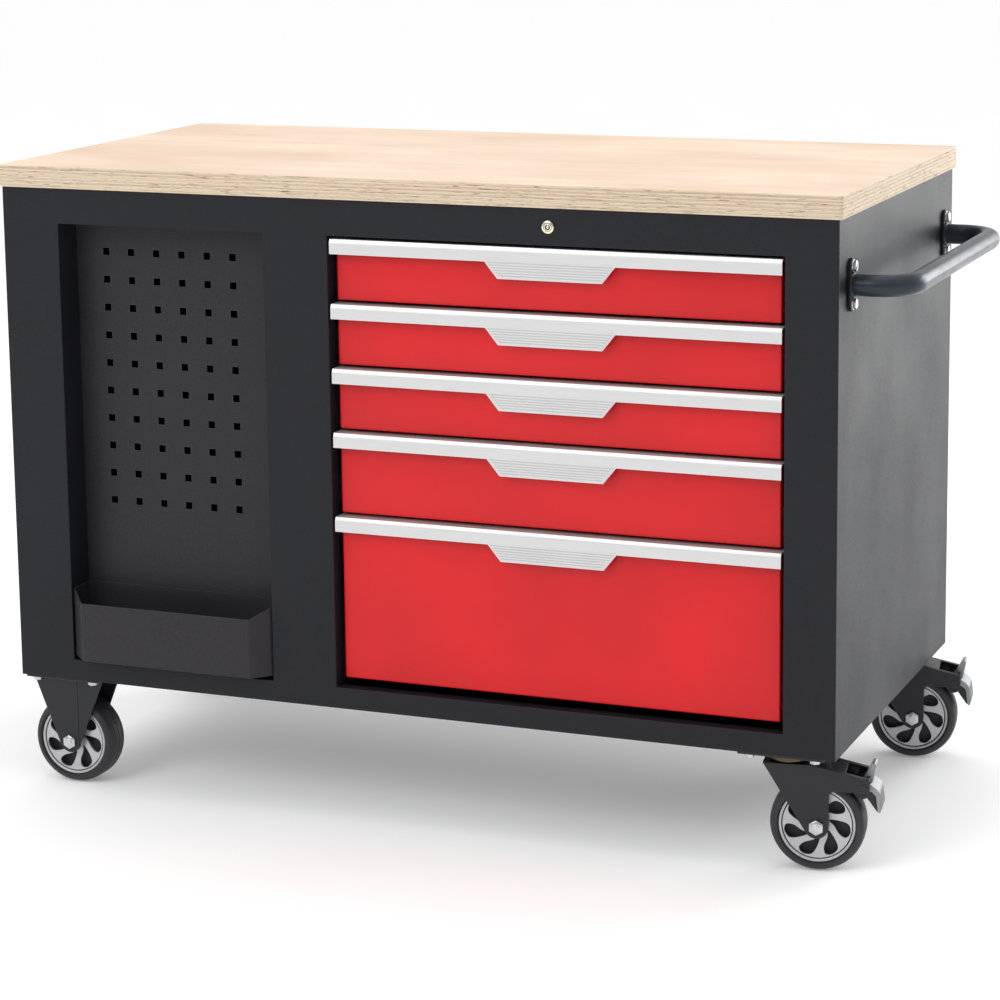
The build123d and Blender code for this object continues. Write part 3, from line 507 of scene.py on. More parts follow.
def finished(name, bm, material, body, replaced=(), bevel=0.0, wall=0.0, segments=3):
    """Closes a mesh off as a piece that rides on a body."""
    bmesh.ops.remove_doubles(bm, verts=bm.verts, dist=1e-6)
    bmesh.ops.recalc_face_normals(bm, faces=bm.faces)
    mesh = bpy.data.meshes.new(name)
    bm.to_mesh(mesh)
    bm.free()
    mesh.materials.append(material)
    mesh.shade_smooth()
    mesh.set_sharp_from_angle(angle=radians(34))
    piece = bpy.data.objects.new(name, mesh)
    bpy.context.scene.collection.objects.link(piece)
    if wall:
        skin = piece.modifiers.new("wall", "SOLIDIFY")
        skin.thickness = wall
        skin.offset = -1.0
        skin.use_even_offset = True
    if bevel:
        round_off = piece.modifiers.new("edges", "BEVEL")
        round_off.width = bevel
        round_off.segments = segments
        round_off.limit_method = "ANGLE"
        round_off.angle_limit = radians(34)
        round_off.harden_normals = True
    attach(piece, body)
    if replaced:
        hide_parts(*replaced)
    return piece


def faced(bm, direction):
    """Faces whose normal looks in a direction."""
    bm.normal_update()
    return [face for face in bm.faces if face.normal.dot(Vector(direction)) > 0.9]


# ---- worktop and cabinet ----
class BENCH_OT_worktop(bpy.types.Operator):
    """Plywood board with rounded corners and eased edges"""
    bl_idname = "bench.worktop"
    bl_label = "Worktop"

    def execute(self, context):
        bm = bmesh.new()
        block(bm, low("worktop"), high("worktop"))
        upright = [edge for edge in bm.edges
                   if abs(edge.verts[0].co.z - edge.verts[1].co.z) > sizes().worktop_corner]
        bmesh.ops.bevel(bm, geom=upright, offset=sizes().worktop_corner, segments=8, affect="EDGES",
                        profile=0.5, material=-1)
        finished("worktop_board", bm, finish("wood"), "cabinet", ["worktop"],
                 bevel=sizes().worktop_ease)
        return {"FINISHED"}


def frame_lines():
    """The front frame's upright and level fold lines."""
    bay = (low("tool_tray").x - sizes().tray_clear, high("tool_tray").x + sizes().tray_clear)
    opening = (low("slide_rails").x, high("slide_rails").x)
    bottom = low("drawer_5_front").z - sizes().drawer_bottom_gap
    top = high("drawer_1_pull").z + sizes().drawer_top_gap
    return bay, opening, bottom, top


class BENCH_OT_front_frame(bpy.types.Operator):
    """Folded face frame with returns round the tool bay and the drawers"""
    bl_idname = "bench.front_frame"
    bl_label = "Front frame"

    def execute(self, context):
        bay, opening, bottom, top = frame_lines()
        start, end = low("front_frame"), high("front_frame")
        bm = bmesh.new()
        corners = ((start.x, start.z), (end.x, start.z), (end.x, end.z), (start.x, end.z))
        bm.faces.new([bm.verts.new((across, start.y, up)) for across, up in corners])
        for across in bay + opening:
            bmesh.ops.bisect_plane(bm, geom=bm.verts[:] + bm.edges[:] + bm.faces[:],
                                   plane_co=(across, 0, 0), plane_no=(1, 0, 0))
        for up in (bottom, top):
            bmesh.ops.bisect_plane(bm, geom=bm.verts[:] + bm.edges[:] + bm.faces[:],
                                   plane_co=(0, 0, up), plane_no=(0, 0, 1))
        for sides, depth in ((bay, sizes().bay_depth), (opening, sizes().drawer_return)):
            hole = [face for face in bm.faces
                    if sides[0] < face.calc_center_median().x < sides[1]
                    and bottom < face.calc_center_median().z < top]
            rim = [edge for face in hole for edge in face.edges]
            bmesh.ops.delete(bm, geom=hole, context="FACES_ONLY")
            grown = bmesh.ops.extrude_edge_only(bm, edges=rim)["geom"]
            moved = [item for item in grown if isinstance(item, bmesh.types.BMVert)]
            bmesh.ops.translate(bm, verts=moved, vec=(0, depth - sizes().sheet, 0))
        folds = [edge for edge in bm.edges if len(edge.link_faces) == 2 and edge.calc_face_angle() > 1.0]
        bmesh.ops.bevel(bm, geom=folds, offset=sizes().fold_radius, segments=4, affect="EDGES",
                        profile=0.5, material=-1)
        bmesh.ops.recalc_face_normals(bm, faces=bm.faces)
        if faced(bm, (0, 1, 0)):
            bmesh.ops.reverse_faces(bm, faces=bm.faces)
        bmesh.ops.solidify(bm, geom=bm.faces[:], thickness=sizes().sheet)
        finished("face_frame", bm, finish("black"), "cabinet", ["front_frame"], bevel=0.0003)
        return {"FINISHED"}


class BENCH_OT_steelwork(bpy.types.Operator):
    """Coats the sheet parts that keep their engineering shape"""
    bl_idname = "bench.steelwork"
    bl_label = "Panels and slides"

    def execute(self, context):
        for node in ("side_panel_left", "side_panel_right", "back_panel"):
            recoat(node, "black")
        # The perforated panel gets the lighter bay black: painted light.
        recoat("perforated_panel", "bay_black_painted_light")
        for node in ("base_panel", "drawer_wall_left", "drawer_wall_right"):
            recoat(node, "inner_black")
        recoat("slide_rails", "slide_zinc")
        recoat("lock_cam", "zinc")
        for number in DRAWERS:
            recoat("drawer_%d_box" % number, "inner_black")
            recoat("drawer_%d_runners" % number, "slide_zinc")
        for row in ROWS:
            recoat("brake_pin_" + row, "fork_black")
        return {"FINISHED"}


class BENCH_OT_tray(bpy.types.Operator):
    """Folded tray with slanted corners and a rolled front hem"""
    bl_idname = "bench.tray"
    bl_label = "Tool tray"

    def execute(self, context):
        start, end = low("tool_tray"), high("tool_tray")
        wing = sizes().tray_wing
        walls = (
            (start.x, end.y, end.z), (start.x, start.y + wing, end.z),
            (start.x + wing, start.y, start.z + sizes().tray_front),
            (end.x - wing, start.y, start.z + sizes().tray_front),
            (end.x, start.y + wing, end.z), (end.x, end.y, end.z),
        )
        bm = bmesh.new()
        floor = [bm.verts.new((x, y, start.z)) for x, y, z in walls]
        rim = [bm.verts.new(point) for point in walls]
        bm.faces.new(floor)
        for index in range(len(walls)):
            after = (index + 1) % len(walls)
            bm.faces.new((floor[index], floor[after], rim[after], rim[index]))
        bmesh.ops.recalc_face_normals(bm, faces=bm.faces)
        folds = [edge for edge in bm.edges if len(edge.link_faces) == 2]
        bmesh.ops.bevel(bm, geom=folds, offset=0.0022, segments=4, affect="EDGES", profile=0.5, material=-1)
        if not faced(bm, (0, -1, 0)):
            bmesh.ops.reverse_faces(bm, faces=bm.faces)
        bmesh.ops.solidify(bm, geom=bm.faces[:], thickness=sizes().sheet)
        # The tray gets the lighter bay black: painted light.
        finished("tray_bin", bm, finish("bay_black_painted_light"), "cabinet", ["tool_tray"], bevel=0.0004)

        hem = bmesh.new()
        run = (start.x + wing, end.x - wing)
        centre = Vector((run[0], start.y + 0.0016, start.z + sizes().tray_front - 0.0012))
        turned(hem, ((0.0, 0.0), (0.0016, 0.0), (0.0016, run[1] - run[0]), (0.0, run[1] - run[0])),
               centre, Vector((1, 0, 0)), 20)
        # The hem gets the lighter bay black: painted light.
        finished("tray_hem", hem, finish("bay_black_painted_light"), "cabinet", ())
        return {"FINISHED"}


# ---- drawers and lock ----
class BENCH_OT_drawer_fronts(bpy.types.Operator):
    """Red pressed fronts with rounded edges and folded returns"""
    bl_idname = "bench.drawer_fronts"
    bl_label = "Drawer fronts"

    def execute(self, context):
        for number in DRAWERS:
            node = "drawer_%d_front" % number
            bm = bmesh.new()
            block(bm, low(node), high(node))
            bmesh.ops.delete(bm, geom=faced(bm, (0, 1, 0)), context="FACES_ONLY")
            front_y = low(node).y
            edges = [edge for edge in bm.edges if len(edge.link_faces) == 2]
            bmesh.ops.bevel(bm, geom=edges, offset=0.0024, segments=5, affect="EDGES", profile=0.5,
                            material=-1)
            bmesh.ops.recalc_face_normals(bm, faces=bm.faces)
            if not faced(bm, (0, -1, 0)):
                bmesh.ops.reverse_faces(bm, faces=bm.faces)
            bmesh.ops.solidify(bm, geom=bm.faces[:], thickness=0.0012)
            finished("red_front_%d" % number, bm, finish("red"), "drawer_%d" % number, [node])
        return {"FINISHED"}


class BENCH_OT_drawer_pulls(bpy.types.Operator):
    """Silver pull strips, each with a tapered tab whose face carries fine ribs over a darker plate that paints
    shade into the grooves
    """
    bl_idname = "bench.drawer_pulls"
    bl_label = "Drawer pulls"

    def execute(self, context):
        for number in DRAWERS:
            self.make_pull(number)
        return {"FINISHED"}

    def make_pull(self, number):
        node = "drawer_%d_pull" % number
        body = "drawer_%d" % number
        start, end = low(node), high(node)
        middle = (start.x + end.x) / 2
        wall = sizes().pull_sheet
        strip_low = end.z - sizes().pull_height
        half_top, half_low = sizes().tab_top / 2, sizes().tab_low / 2
        plate = (
            (start.x, end.z), (start.x, strip_low), (middle - half_top, strip_low),
            (middle - half_low, start.z), (middle + half_low, start.z), (middle + half_top, strip_low),
            (end.x, strip_low), (end.x, end.z),
        )
        bm = bmesh.new()
        thick_outline(bm, [(x, start.y, z) for x, z in plate], (0, wall, 0))
        fold = end.z - sizes().pull_bevel
        bmesh.ops.bisect_plane(bm, geom=bm.verts[:] + bm.edges[:] + bm.faces[:],
                               plane_co=(0, 0, fold), plane_no=(0, 0, 1))
        crest = [v for v in bm.verts if abs(v.co.z - end.z) < 1e-5 and abs(v.co.y - start.y) < 1e-5]
        bmesh.ops.translate(bm, verts=crest, vec=(0, sizes().pull_lean, 0))
        crease = [edge for edge in bm.edges
                  if all(abs(v.co.z - fold) < 1e-5 and abs(v.co.y - start.y) < 1e-5 for v in edge.verts)]
        bmesh.ops.bevel(bm, geom=crease, offset=0.0016, segments=4, affect="EDGES", profile=0.5,
                        material=-1)
        block(bm, (start.x, start.y + wall, end.z - wall), (end.x, end.y, end.z))
        finished("pull_strip_%d" % number, bm, finish("silver"), body, [node],
                 bevel=0.0006)

        ribs = bmesh.new()
        slope = (half_top - half_low) / (strip_low - start.z)
        pitch = sizes().rib_pitch
        rise = start.z + pitch * 0.75
        while rise < strip_low + pitch * 0.6:
            half = half_low + slope * min(rise - start.z, strip_low - start.z) - pitch * 0.75
            block(ribs, (middle - half, start.y - 0.0006, rise - pitch * 0.27),
                  (middle + half, start.y + 0.0004, rise + pitch * 0.27))
            rise += pitch
        finished("pull_ribs_%d" % number, ribs, finish("silver"), body, (), bevel=0.0003,
                 segments=2)
        # Painted shade: a darker silver plate just behind the ribs darkens the grooves between them.
        valley_shade = bmesh.new()
        rise -= pitch
        wide = half_low + slope * (strip_low - start.z) - pitch * 0.8
        field = ((middle - half_low + pitch * 0.8, start.z + pitch * 0.6),
                 (middle + half_low - pitch * 0.8, start.z + pitch * 0.6),
                 (middle + wide, strip_low), (middle + wide, rise + pitch * 0.2),
                 (middle - wide, rise + pitch * 0.2), (middle - wide, strip_low))
        thick_outline(valley_shade, [(x, start.y - 0.00015, z) for x, z in field], (0, 0.0004, 0))
        finished("pull_shade_plates_%d" % number, valley_shade, finish("valley_shade"), body, ())


class BENCH_OT_lock(bpy.types.Operator):
    """Round key lock with a stepped bezel"""
    bl_idname = "bench.lock"
    bl_label = "Lock"

    def execute(self, context):
        centre, axis = joint("lock_turn")
        outward = Vector((0, -1, 0))
        face = Vector((centre.x, low("front_frame").y, centre.z))
        reach = (high("lock_housing").x - low("lock_housing").x) / 2
        plug = (high("lock_cylinder").x - low("lock_cylinder").x) / 2
        proud = low("front_frame").y - low("lock_housing").y
        bm = bmesh.new()
        profile = ((plug + 0.0001, -0.02), (plug + 0.0001, proud - 0.0012), (plug + 0.0006, proud),
                   (reach - 0.0022, proud), (reach - 0.0008, proud - 0.0007), (reach, proud - 0.0022),
                   (reach, 0.0), (reach * 0.8, 0.0), (reach * 0.8, -0.02), (plug + 0.0001, -0.02))
        turned(bm, profile, face, outward, 48)
        finished("lock_bezel", bm, finish("brass"), "cabinet", ["lock_housing"])

        key = bmesh.new()
        core = plug * 0.36
        profile = ((0.0, proud - 0.0006), (core, proud - 0.0006), (core, proud - 0.008),
                   (plug * 0.70, proud - 0.008), (plug * 0.70, proud - 0.0002), (plug, proud - 0.0002),
                   (plug, -0.022), (0.0, -0.022))
        turned(key, profile, face, outward, 48)
        notch = core * 0.45
        block(key, (centre.x - notch, face.y - proud + 0.0005, centre.z + core),
              (centre.x + notch, face.y - proud + 0.003, centre.z + plug * 0.74))
        finished("lock_plug_face", key, finish("brass"), "lock_plug", ["lock_cylinder"])
        return {"FINISHED"}


# ---- push handle ----
class BENCH_OT_push_handle(bpy.types.Operator):
    """Bent tube on two bolted end plates"""
    bl_idname = "bench.push_handle"
    bl_label = "Push handle"

    def execute(self, context):
        start, end = low("handle_tube"), high("handle_tube")
        radius, bend = sizes().tube_radius, sizes().tube_bend
        height = (start.z + end.z) / 2
        near, far = start.y + radius, end.y - radius
        outer = end.x - radius
        bm = bmesh.new()
        self.sweep_tube(bm, start.x, outer, near, far, height, radius, bend)
        finished("handle_bar", bm, finish("graphite"), "cabinet", ["handle_tube"])

        plates = bmesh.new()
        flange_low, flange_high = low("handle_flanges"), high("handle_flanges")
        half_width = near - flange_low.y
        for centre_y in (near, far):
            top = arc((centre_y, flange_high.z - half_width), half_width, 0, 180, 14)
            foot = arc((centre_y, flange_low.z + half_width), half_width, 180, 360, 14)
            thick_outline(plates, [(flange_low.x, y, z) for y, z in top + foot],
                          (flange_high.x - flange_low.x, 0, 0))
            weld = ((radius - 0.001, 0.0), (radius + 0.0035, 0.0), (radius + 0.0028, 0.0014),
                    (radius + 0.0012, 0.0027), (radius - 0.001, 0.0034))
            turned(plates, weld, Vector((flange_high.x, centre_y, height)), Vector((1, 0, 0)), 40)
        finished("handle_end_plates", plates, finish("black"), "cabinet", ["handle_flanges"],
                 bevel=0.0006)

        bolts = bmesh.new()
        reach = (high("handle_bolts").z - low("handle_bolts").z - sizes().bolt_flats * 1.1547) / 2
        for centre_y in (near, far):
            for step in (-1, 1):
                place = Vector((flange_high.x, centre_y, height + step * reach))
                washer = ((0.0, 0.0), (0.0082, 0.0), (0.0082, 0.0010), (0.0078, 0.0014), (0.0, 0.0014))
                turned(bolts, washer, place, Vector((1, 0, 0)), 32)
                hexagon(bolts, place + Vector((0.0014, 0, 0)), Vector((1, 0, 0)), sizes().bolt_flats * 0.97,
                        0.0040)
        finished("handle_bolt_heads", bolts, finish("zinc"), "cabinet", ["handle_bolts"],
                 bevel=0.0003, segments=2)
        return {"FINISHED"}

    def sweep_tube(self, bm, start_x, outer_x, near, far, height, radius, bend):
        """Draws a ring out, round two quarter bends and back."""
        ring = bmesh.ops.create_circle(
            bm, cap_ends=False, segments=48, radius=radius,
            matrix=Matrix.Translation((start_x, near, height)) @ Matrix.Rotation(pi / 2, 4, "Y"))["verts"]
        edges = list({edge for vert in ring for edge in vert.link_edges})
        edges = self.draw_out(bm, edges, (outer_x - bend - start_x, 0, 0))
        edges = self.swing(bm, edges, (outer_x - bend, near + bend, height), pi / 2)
        edges = self.draw_out(bm, edges, (0, far - near - 2 * bend, 0))
        edges = self.swing(bm, edges, (outer_x - bend, far - bend, height), pi / 2)
        self.draw_out(bm, edges, (start_x - outer_x + bend, 0, 0))

    def draw_out(self, bm, edges, push):
        grown = bmesh.ops.extrude_edge_only(bm, edges=edges)["geom"]
        bmesh.ops.translate(bm, verts=[v for v in grown if isinstance(v, bmesh.types.BMVert)], vec=push)
        return [edge for edge in grown if isinstance(edge, bmesh.types.BMEdge)]

    def swing(self, bm, edges, centre, angle):
        verts = list({vert for edge in edges for vert in edge.verts})
        grown = bmesh.ops.spin(bm, geom=verts + edges, cent=centre, axis=(0, 0, 1), angle=angle, steps=16,
                               use_merge=False, use_duplicate=False)["geom_last"]
        return [edge for edge in grown if isinstance(edge, bmesh.types.BMEdge)]


# ---- wheels ----
def gap_outline(turn):
    """A swept teardrop between two spokes: a pointed tip at the hub and a round heel at the rim."""
    size = sizes()
    reach = (high("rim_left_front").z - low("rim_left_front").z) / 2
    span = size.spoke_heel - size.spoke_tip
    sweep, spread = degrees(size.spoke_sweep), degrees(size.spoke_spread)
    knots = (
        (size.spoke_tip, sweep), (size.spoke_tip + span * 0.43, sweep * 0.55),
        (size.spoke_heel - span * 0.12, sweep * 0.13), (size.spoke_heel, -spread / 2),
        (size.spoke_heel - span * 0.12, -spread), (size.spoke_tip + span * 0.54, -spread * 0.95),
        (size.spoke_tip + span * 0.20, 0.0),
    )
    corners = [Vector((cos(radians(turn + lean)), sin(radians(turn + lean)))) * reach * share
               for share, lean in knots]
    return smooth_loop(corners, 6)


def smooth_loop(corners, steps):
    """A closed curve through a few corners."""
    smooth = []
    for index, here in enumerate(corners):
        before = corners[index - 1]
        there = corners[(index + 1) % len(corners)]
        beyond = corners[(index + 2) % len(corners)]
        for step in range(steps):
            part = step / steps
            smooth.append(0.5 * (2 * here + (there - before) * part
                                 + (2 * before - 5 * here + 4 * there - beyond) * part ** 2
                                 + (3 * here - before - 3 * there + beyond) * part ** 3))
    return smooth


def axle_frame(centre, axis):
    """Axes of a wheel: across, up and out along the axle."""
    out = -axis
    up = Vector((0, 0, 1))
    across = up.cross(out).normalized()
    return across, up, out


def wheel_face(bm, centre, across, up, out, reach, inner, thickness):
    """A pierced disc, filled between its loops and given a thickness."""
    loops = []
    for radius in (reach, inner):
        loops.append([Vector((cos(2 * pi * k / DISC_STEPS), sin(2 * pi * k / DISC_STEPS))) * radius
                      for k in range(DISC_STEPS)])
    for gap in range(sizes().spoke_gaps):
        loops.append(gap_outline(360 * gap / sizes().spoke_gaps))
    edges = []
    for loop in loops:
        verts = [bm.verts.new(centre + across * p.x + up * p.y) for p in loop]
        edges += [bm.edges.new((verts[k - 1], verts[k])) for k in range(len(verts))]
    filled = bmesh.ops.triangle_fill(bm, edges=edges, use_beauty=True, normal=out)["geom"]
    faces = [item for item in filled if isinstance(item, bmesh.types.BMFace)]
    grown = bmesh.ops.extrude_face_region(bm, geom=faces)["geom"]
    bmesh.ops.translate(bm, verts=[v for v in grown if isinstance(v, bmesh.types.BMVert)],
                        vec=-out * thickness)


def make_wheel(corner, body):
    """Silver pierced discs on a dark core, and the tyre round them."""
    centre, axis = joint(body + "_spin")
    across, up, out = axle_frame(centre, axis)
    rim_reach = (high("rim_left_front").z - low("rim_left_front").z) / 2
    tyre_reach = (high("tyre_left_front").z - low("tyre_left_front").z) / 2
    hub_half = (high("rim_left_front").y - low("rim_left_front").y) / 2
    tyre_half = (high("tyre_left_front").y - low("tyre_left_front").y) / 2
    face_half = tyre_half - 0.0045
    hub = sizes().hub_radius
    band = sizes().rim_band

    discs = bmesh.new()
    for side in (1, -1):
        wheel_face(discs, centre + out * side * face_half, across, up, out * side, rim_reach - band * 1.05,
                   hub - 0.002, 0.003)
        lip = ((rim_reach - band * 0.8, -0.003), (rim_reach - band * 0.8, 0.0006),
               (rim_reach - band * 0.6, 0.0016), (rim_reach - band * 0.25, 0.0018),
               (rim_reach - 0.0003, 0.0012), (rim_reach, 0.0), (rim_reach, -0.006),
               (rim_reach - band * 0.5, -0.006), (rim_reach - band * 0.8, -0.003))
        turned(discs, lip, centre + out * side * face_half, out * side, DISC_STEPS)
        boss = ((hub - 0.0035, -0.004), (hub - 0.0035, 0.0024), (hub - 0.0028, 0.003),
                (hub - 0.0008, 0.0022), (hub, 0.0006), (hub, -0.004))
        turned(discs, boss, centre + out * side * face_half, out * side, 48)
    finished("wheel_discs_" + corner, discs, finish("wheel"), body, ["rim_" + corner],
             bevel=0.0005, segments=2)

    core = bmesh.new()
    bore = 0.0064
    floor = face_half * 0.35
    drum = rim_reach - 0.0006
    profile = ((bore, -hub_half), (hub - 0.003, -hub_half), (hub - 0.002, -face_half + 0.004),
               (hub + 0.001, -floor), (drum - 0.006, -floor), (drum - 0.002, -face_half + 0.004),
               (drum, -face_half + 0.004), (drum, face_half - 0.004), (drum - 0.002, face_half - 0.004),
               (drum - 0.006, floor), (hub + 0.001, floor), (hub - 0.002, face_half - 0.004),
               (hub - 0.003, hub_half), (bore, hub_half), (bore, -hub_half))
    turned(core, profile, centre, out, DISC_STEPS)
    finished("wheel_core_" + corner, core, finish("rubber"), body, ["rim_" + corner])

    tyre = bmesh.new()
    inner = rim_reach + 0.0002
    crown = 0.0012
    shoulder = 0.009
    wall = tyre_half
    right = [(tyre_reach - crown - shoulder + y, wall - shoulder + x)
             for x, y in arc((0, 0), shoulder, 0, 78, 9)]
    groove = 0.0007
    tread = []
    for part in range(1, 24):
        along = (wall - shoulder) * (1 - part / 12)
        lift = crown * (1 - (along / wall) ** 2)
        cut = groove if part in (3, 12, 21) else 0.0
        tread.append((tyre_reach - crown + lift - cut, along))
    side_lines = ((inner, wall - 0.0035), (inner + 0.0012, wall - 0.0012), (inner + 0.0016, wall - 0.0003 - groove))
    profile = list(side_lines) + right + tread
    profile += [(reach, -along) for reach, along in reversed(right)]
    profile += [(reach, -along) for reach, along in reversed(side_lines)]
    profile.append(profile[0])
    turned(tyre, profile, centre, out, DISC_STEPS)
    finished("wheel_tyre_" + corner, tyre, finish("rubber"), body, ["tyre_" + corner])


class BENCH_OT_wheels(bpy.types.Operator):
    """Four wheels with pierced silver discs"""
    bl_idname = "bench.wheels"
    bl_label = "Wheels"

    def execute(self, context):
        for row in ROWS:
            for side in ("left", "right"):
                make_wheel(side + "_" + row, "wheel_%s_%s" % (side, row))
        return {"FINISHED"}


# ---- forks, axles and brakes ----
def tangent_end(centre, corner, radius, side):
    """Angle, in degrees, where a line from a corner touches a circle."""
    run, rise = corner[0] - centre[0], corner[1] - centre[1]
    reach = hypot(run, rise)
    return (atan2(rise, run) + side * (pi / 2 - atan2(radius, (reach ** 2 - radius ** 2) ** 0.5))) * 180 / pi


def fork_half_width():
    """Half the width over a fork's cheeks: the axle less its two heads."""
    return (high("fixed_axle_front").y - low("fixed_axle_front").y) / 2 - sizes().axle_head


def place_points(points, origin, across, shift):
    """Turns (across, up) pairs into places on an upright plane moved along its normal."""
    return [origin + across * x + Vector((0, 0, 1)) * z + shift for x, z in points]


def make_axle(name, body, node, centre, axis, half_out):
    """Bolt head and nut outside a fork, with the threaded end standing out of each."""
    bm = bmesh.new()
    for side in (1, -1):
        base = centre + axis * side * half_out
        hexagon(bm, base, axis * side, sizes().axle_flats * 0.93, 0.0056)
        tail = ((0.0, 0.0050), (0.0052, 0.0050), (0.0052, 0.0062), (0.0044, 0.0069), (0.0, 0.0069))
        turned(bm, tail, base, axis * side, 32)
    turned(bm, ((0.0, -half_out), (0.006, -half_out), (0.006, half_out), (0.0, half_out)), centre, axis, 32)
    finished(name, bm, finish("zinc"), body, [node], bevel=0.0003, segments=2)


class BENCH_OT_fixed_forks(bpy.types.Operator):
    """Non-turning forks with tapered cheeks, and their axles"""
    bl_idname = "bench.fixed_forks"
    bl_label = "Fixed casters"

    def execute(self, context):
        for row in ROWS:
            node = "fixed_fork_" + row
            centre, axis = joint("wheel_left_%s_spin" % row)
            start, end = low(node), high(node)
            sheet = sizes().fork_sheet
            top = end.z - sheet
            half = (end.x - start.x) / 2 - sheet
            radius = sizes().fork_end
            half_out = fork_half_width()
            left = tangent_end((0, centre.z), (-half, top), radius, 1)
            right = 180 - left + 360
            outline = [(-half, top)] + arc((0, centre.z), radius, left, right, 18) + [(half, top)]
            bm = bmesh.new()
            pressed = bmesh.new()
            origin = Vector((centre.x, centre.y, 0))
            across = Vector((1, 0, 0))
            for side in (1, -1):
                shift = axis * side * half_out
                thick_outline(bm, place_points(outline, origin, across, shift), -axis * side * sheet)
                thick_outline(pressed, place_points(outline, origin, across, shift), axis * side * 0.0009)
            bmesh.ops.bisect_plane(pressed, geom=pressed.verts[:] + pressed.edges[:] + pressed.faces[:],
                                   plane_co=origin + across * radius * 0.85, plane_no=across, clear_outer=True)
            bmesh.ops.holes_fill(pressed, edges=pressed.edges, sides=0)
            finished("fork_press_" + row, pressed, finish("fork_black"), "cabinet", (),
                     bevel=0.0007, segments=3)
            corners = ((start.x, start.y), (end.x, start.y), (end.x, end.y), (start.x, end.y))
            thick_outline(bm, [(x, y, top) for x, y in corners], (0, 0, sheet))
            finished("fork_fixed_" + row, bm, finish("fork_black"), "cabinet", [node],
                     bevel=0.0009, segments=3)
            make_axle("axle_left_" + row, "cabinet", "fixed_axle_" + row, centre, axis, half_out)
        return {"FINISHED"}


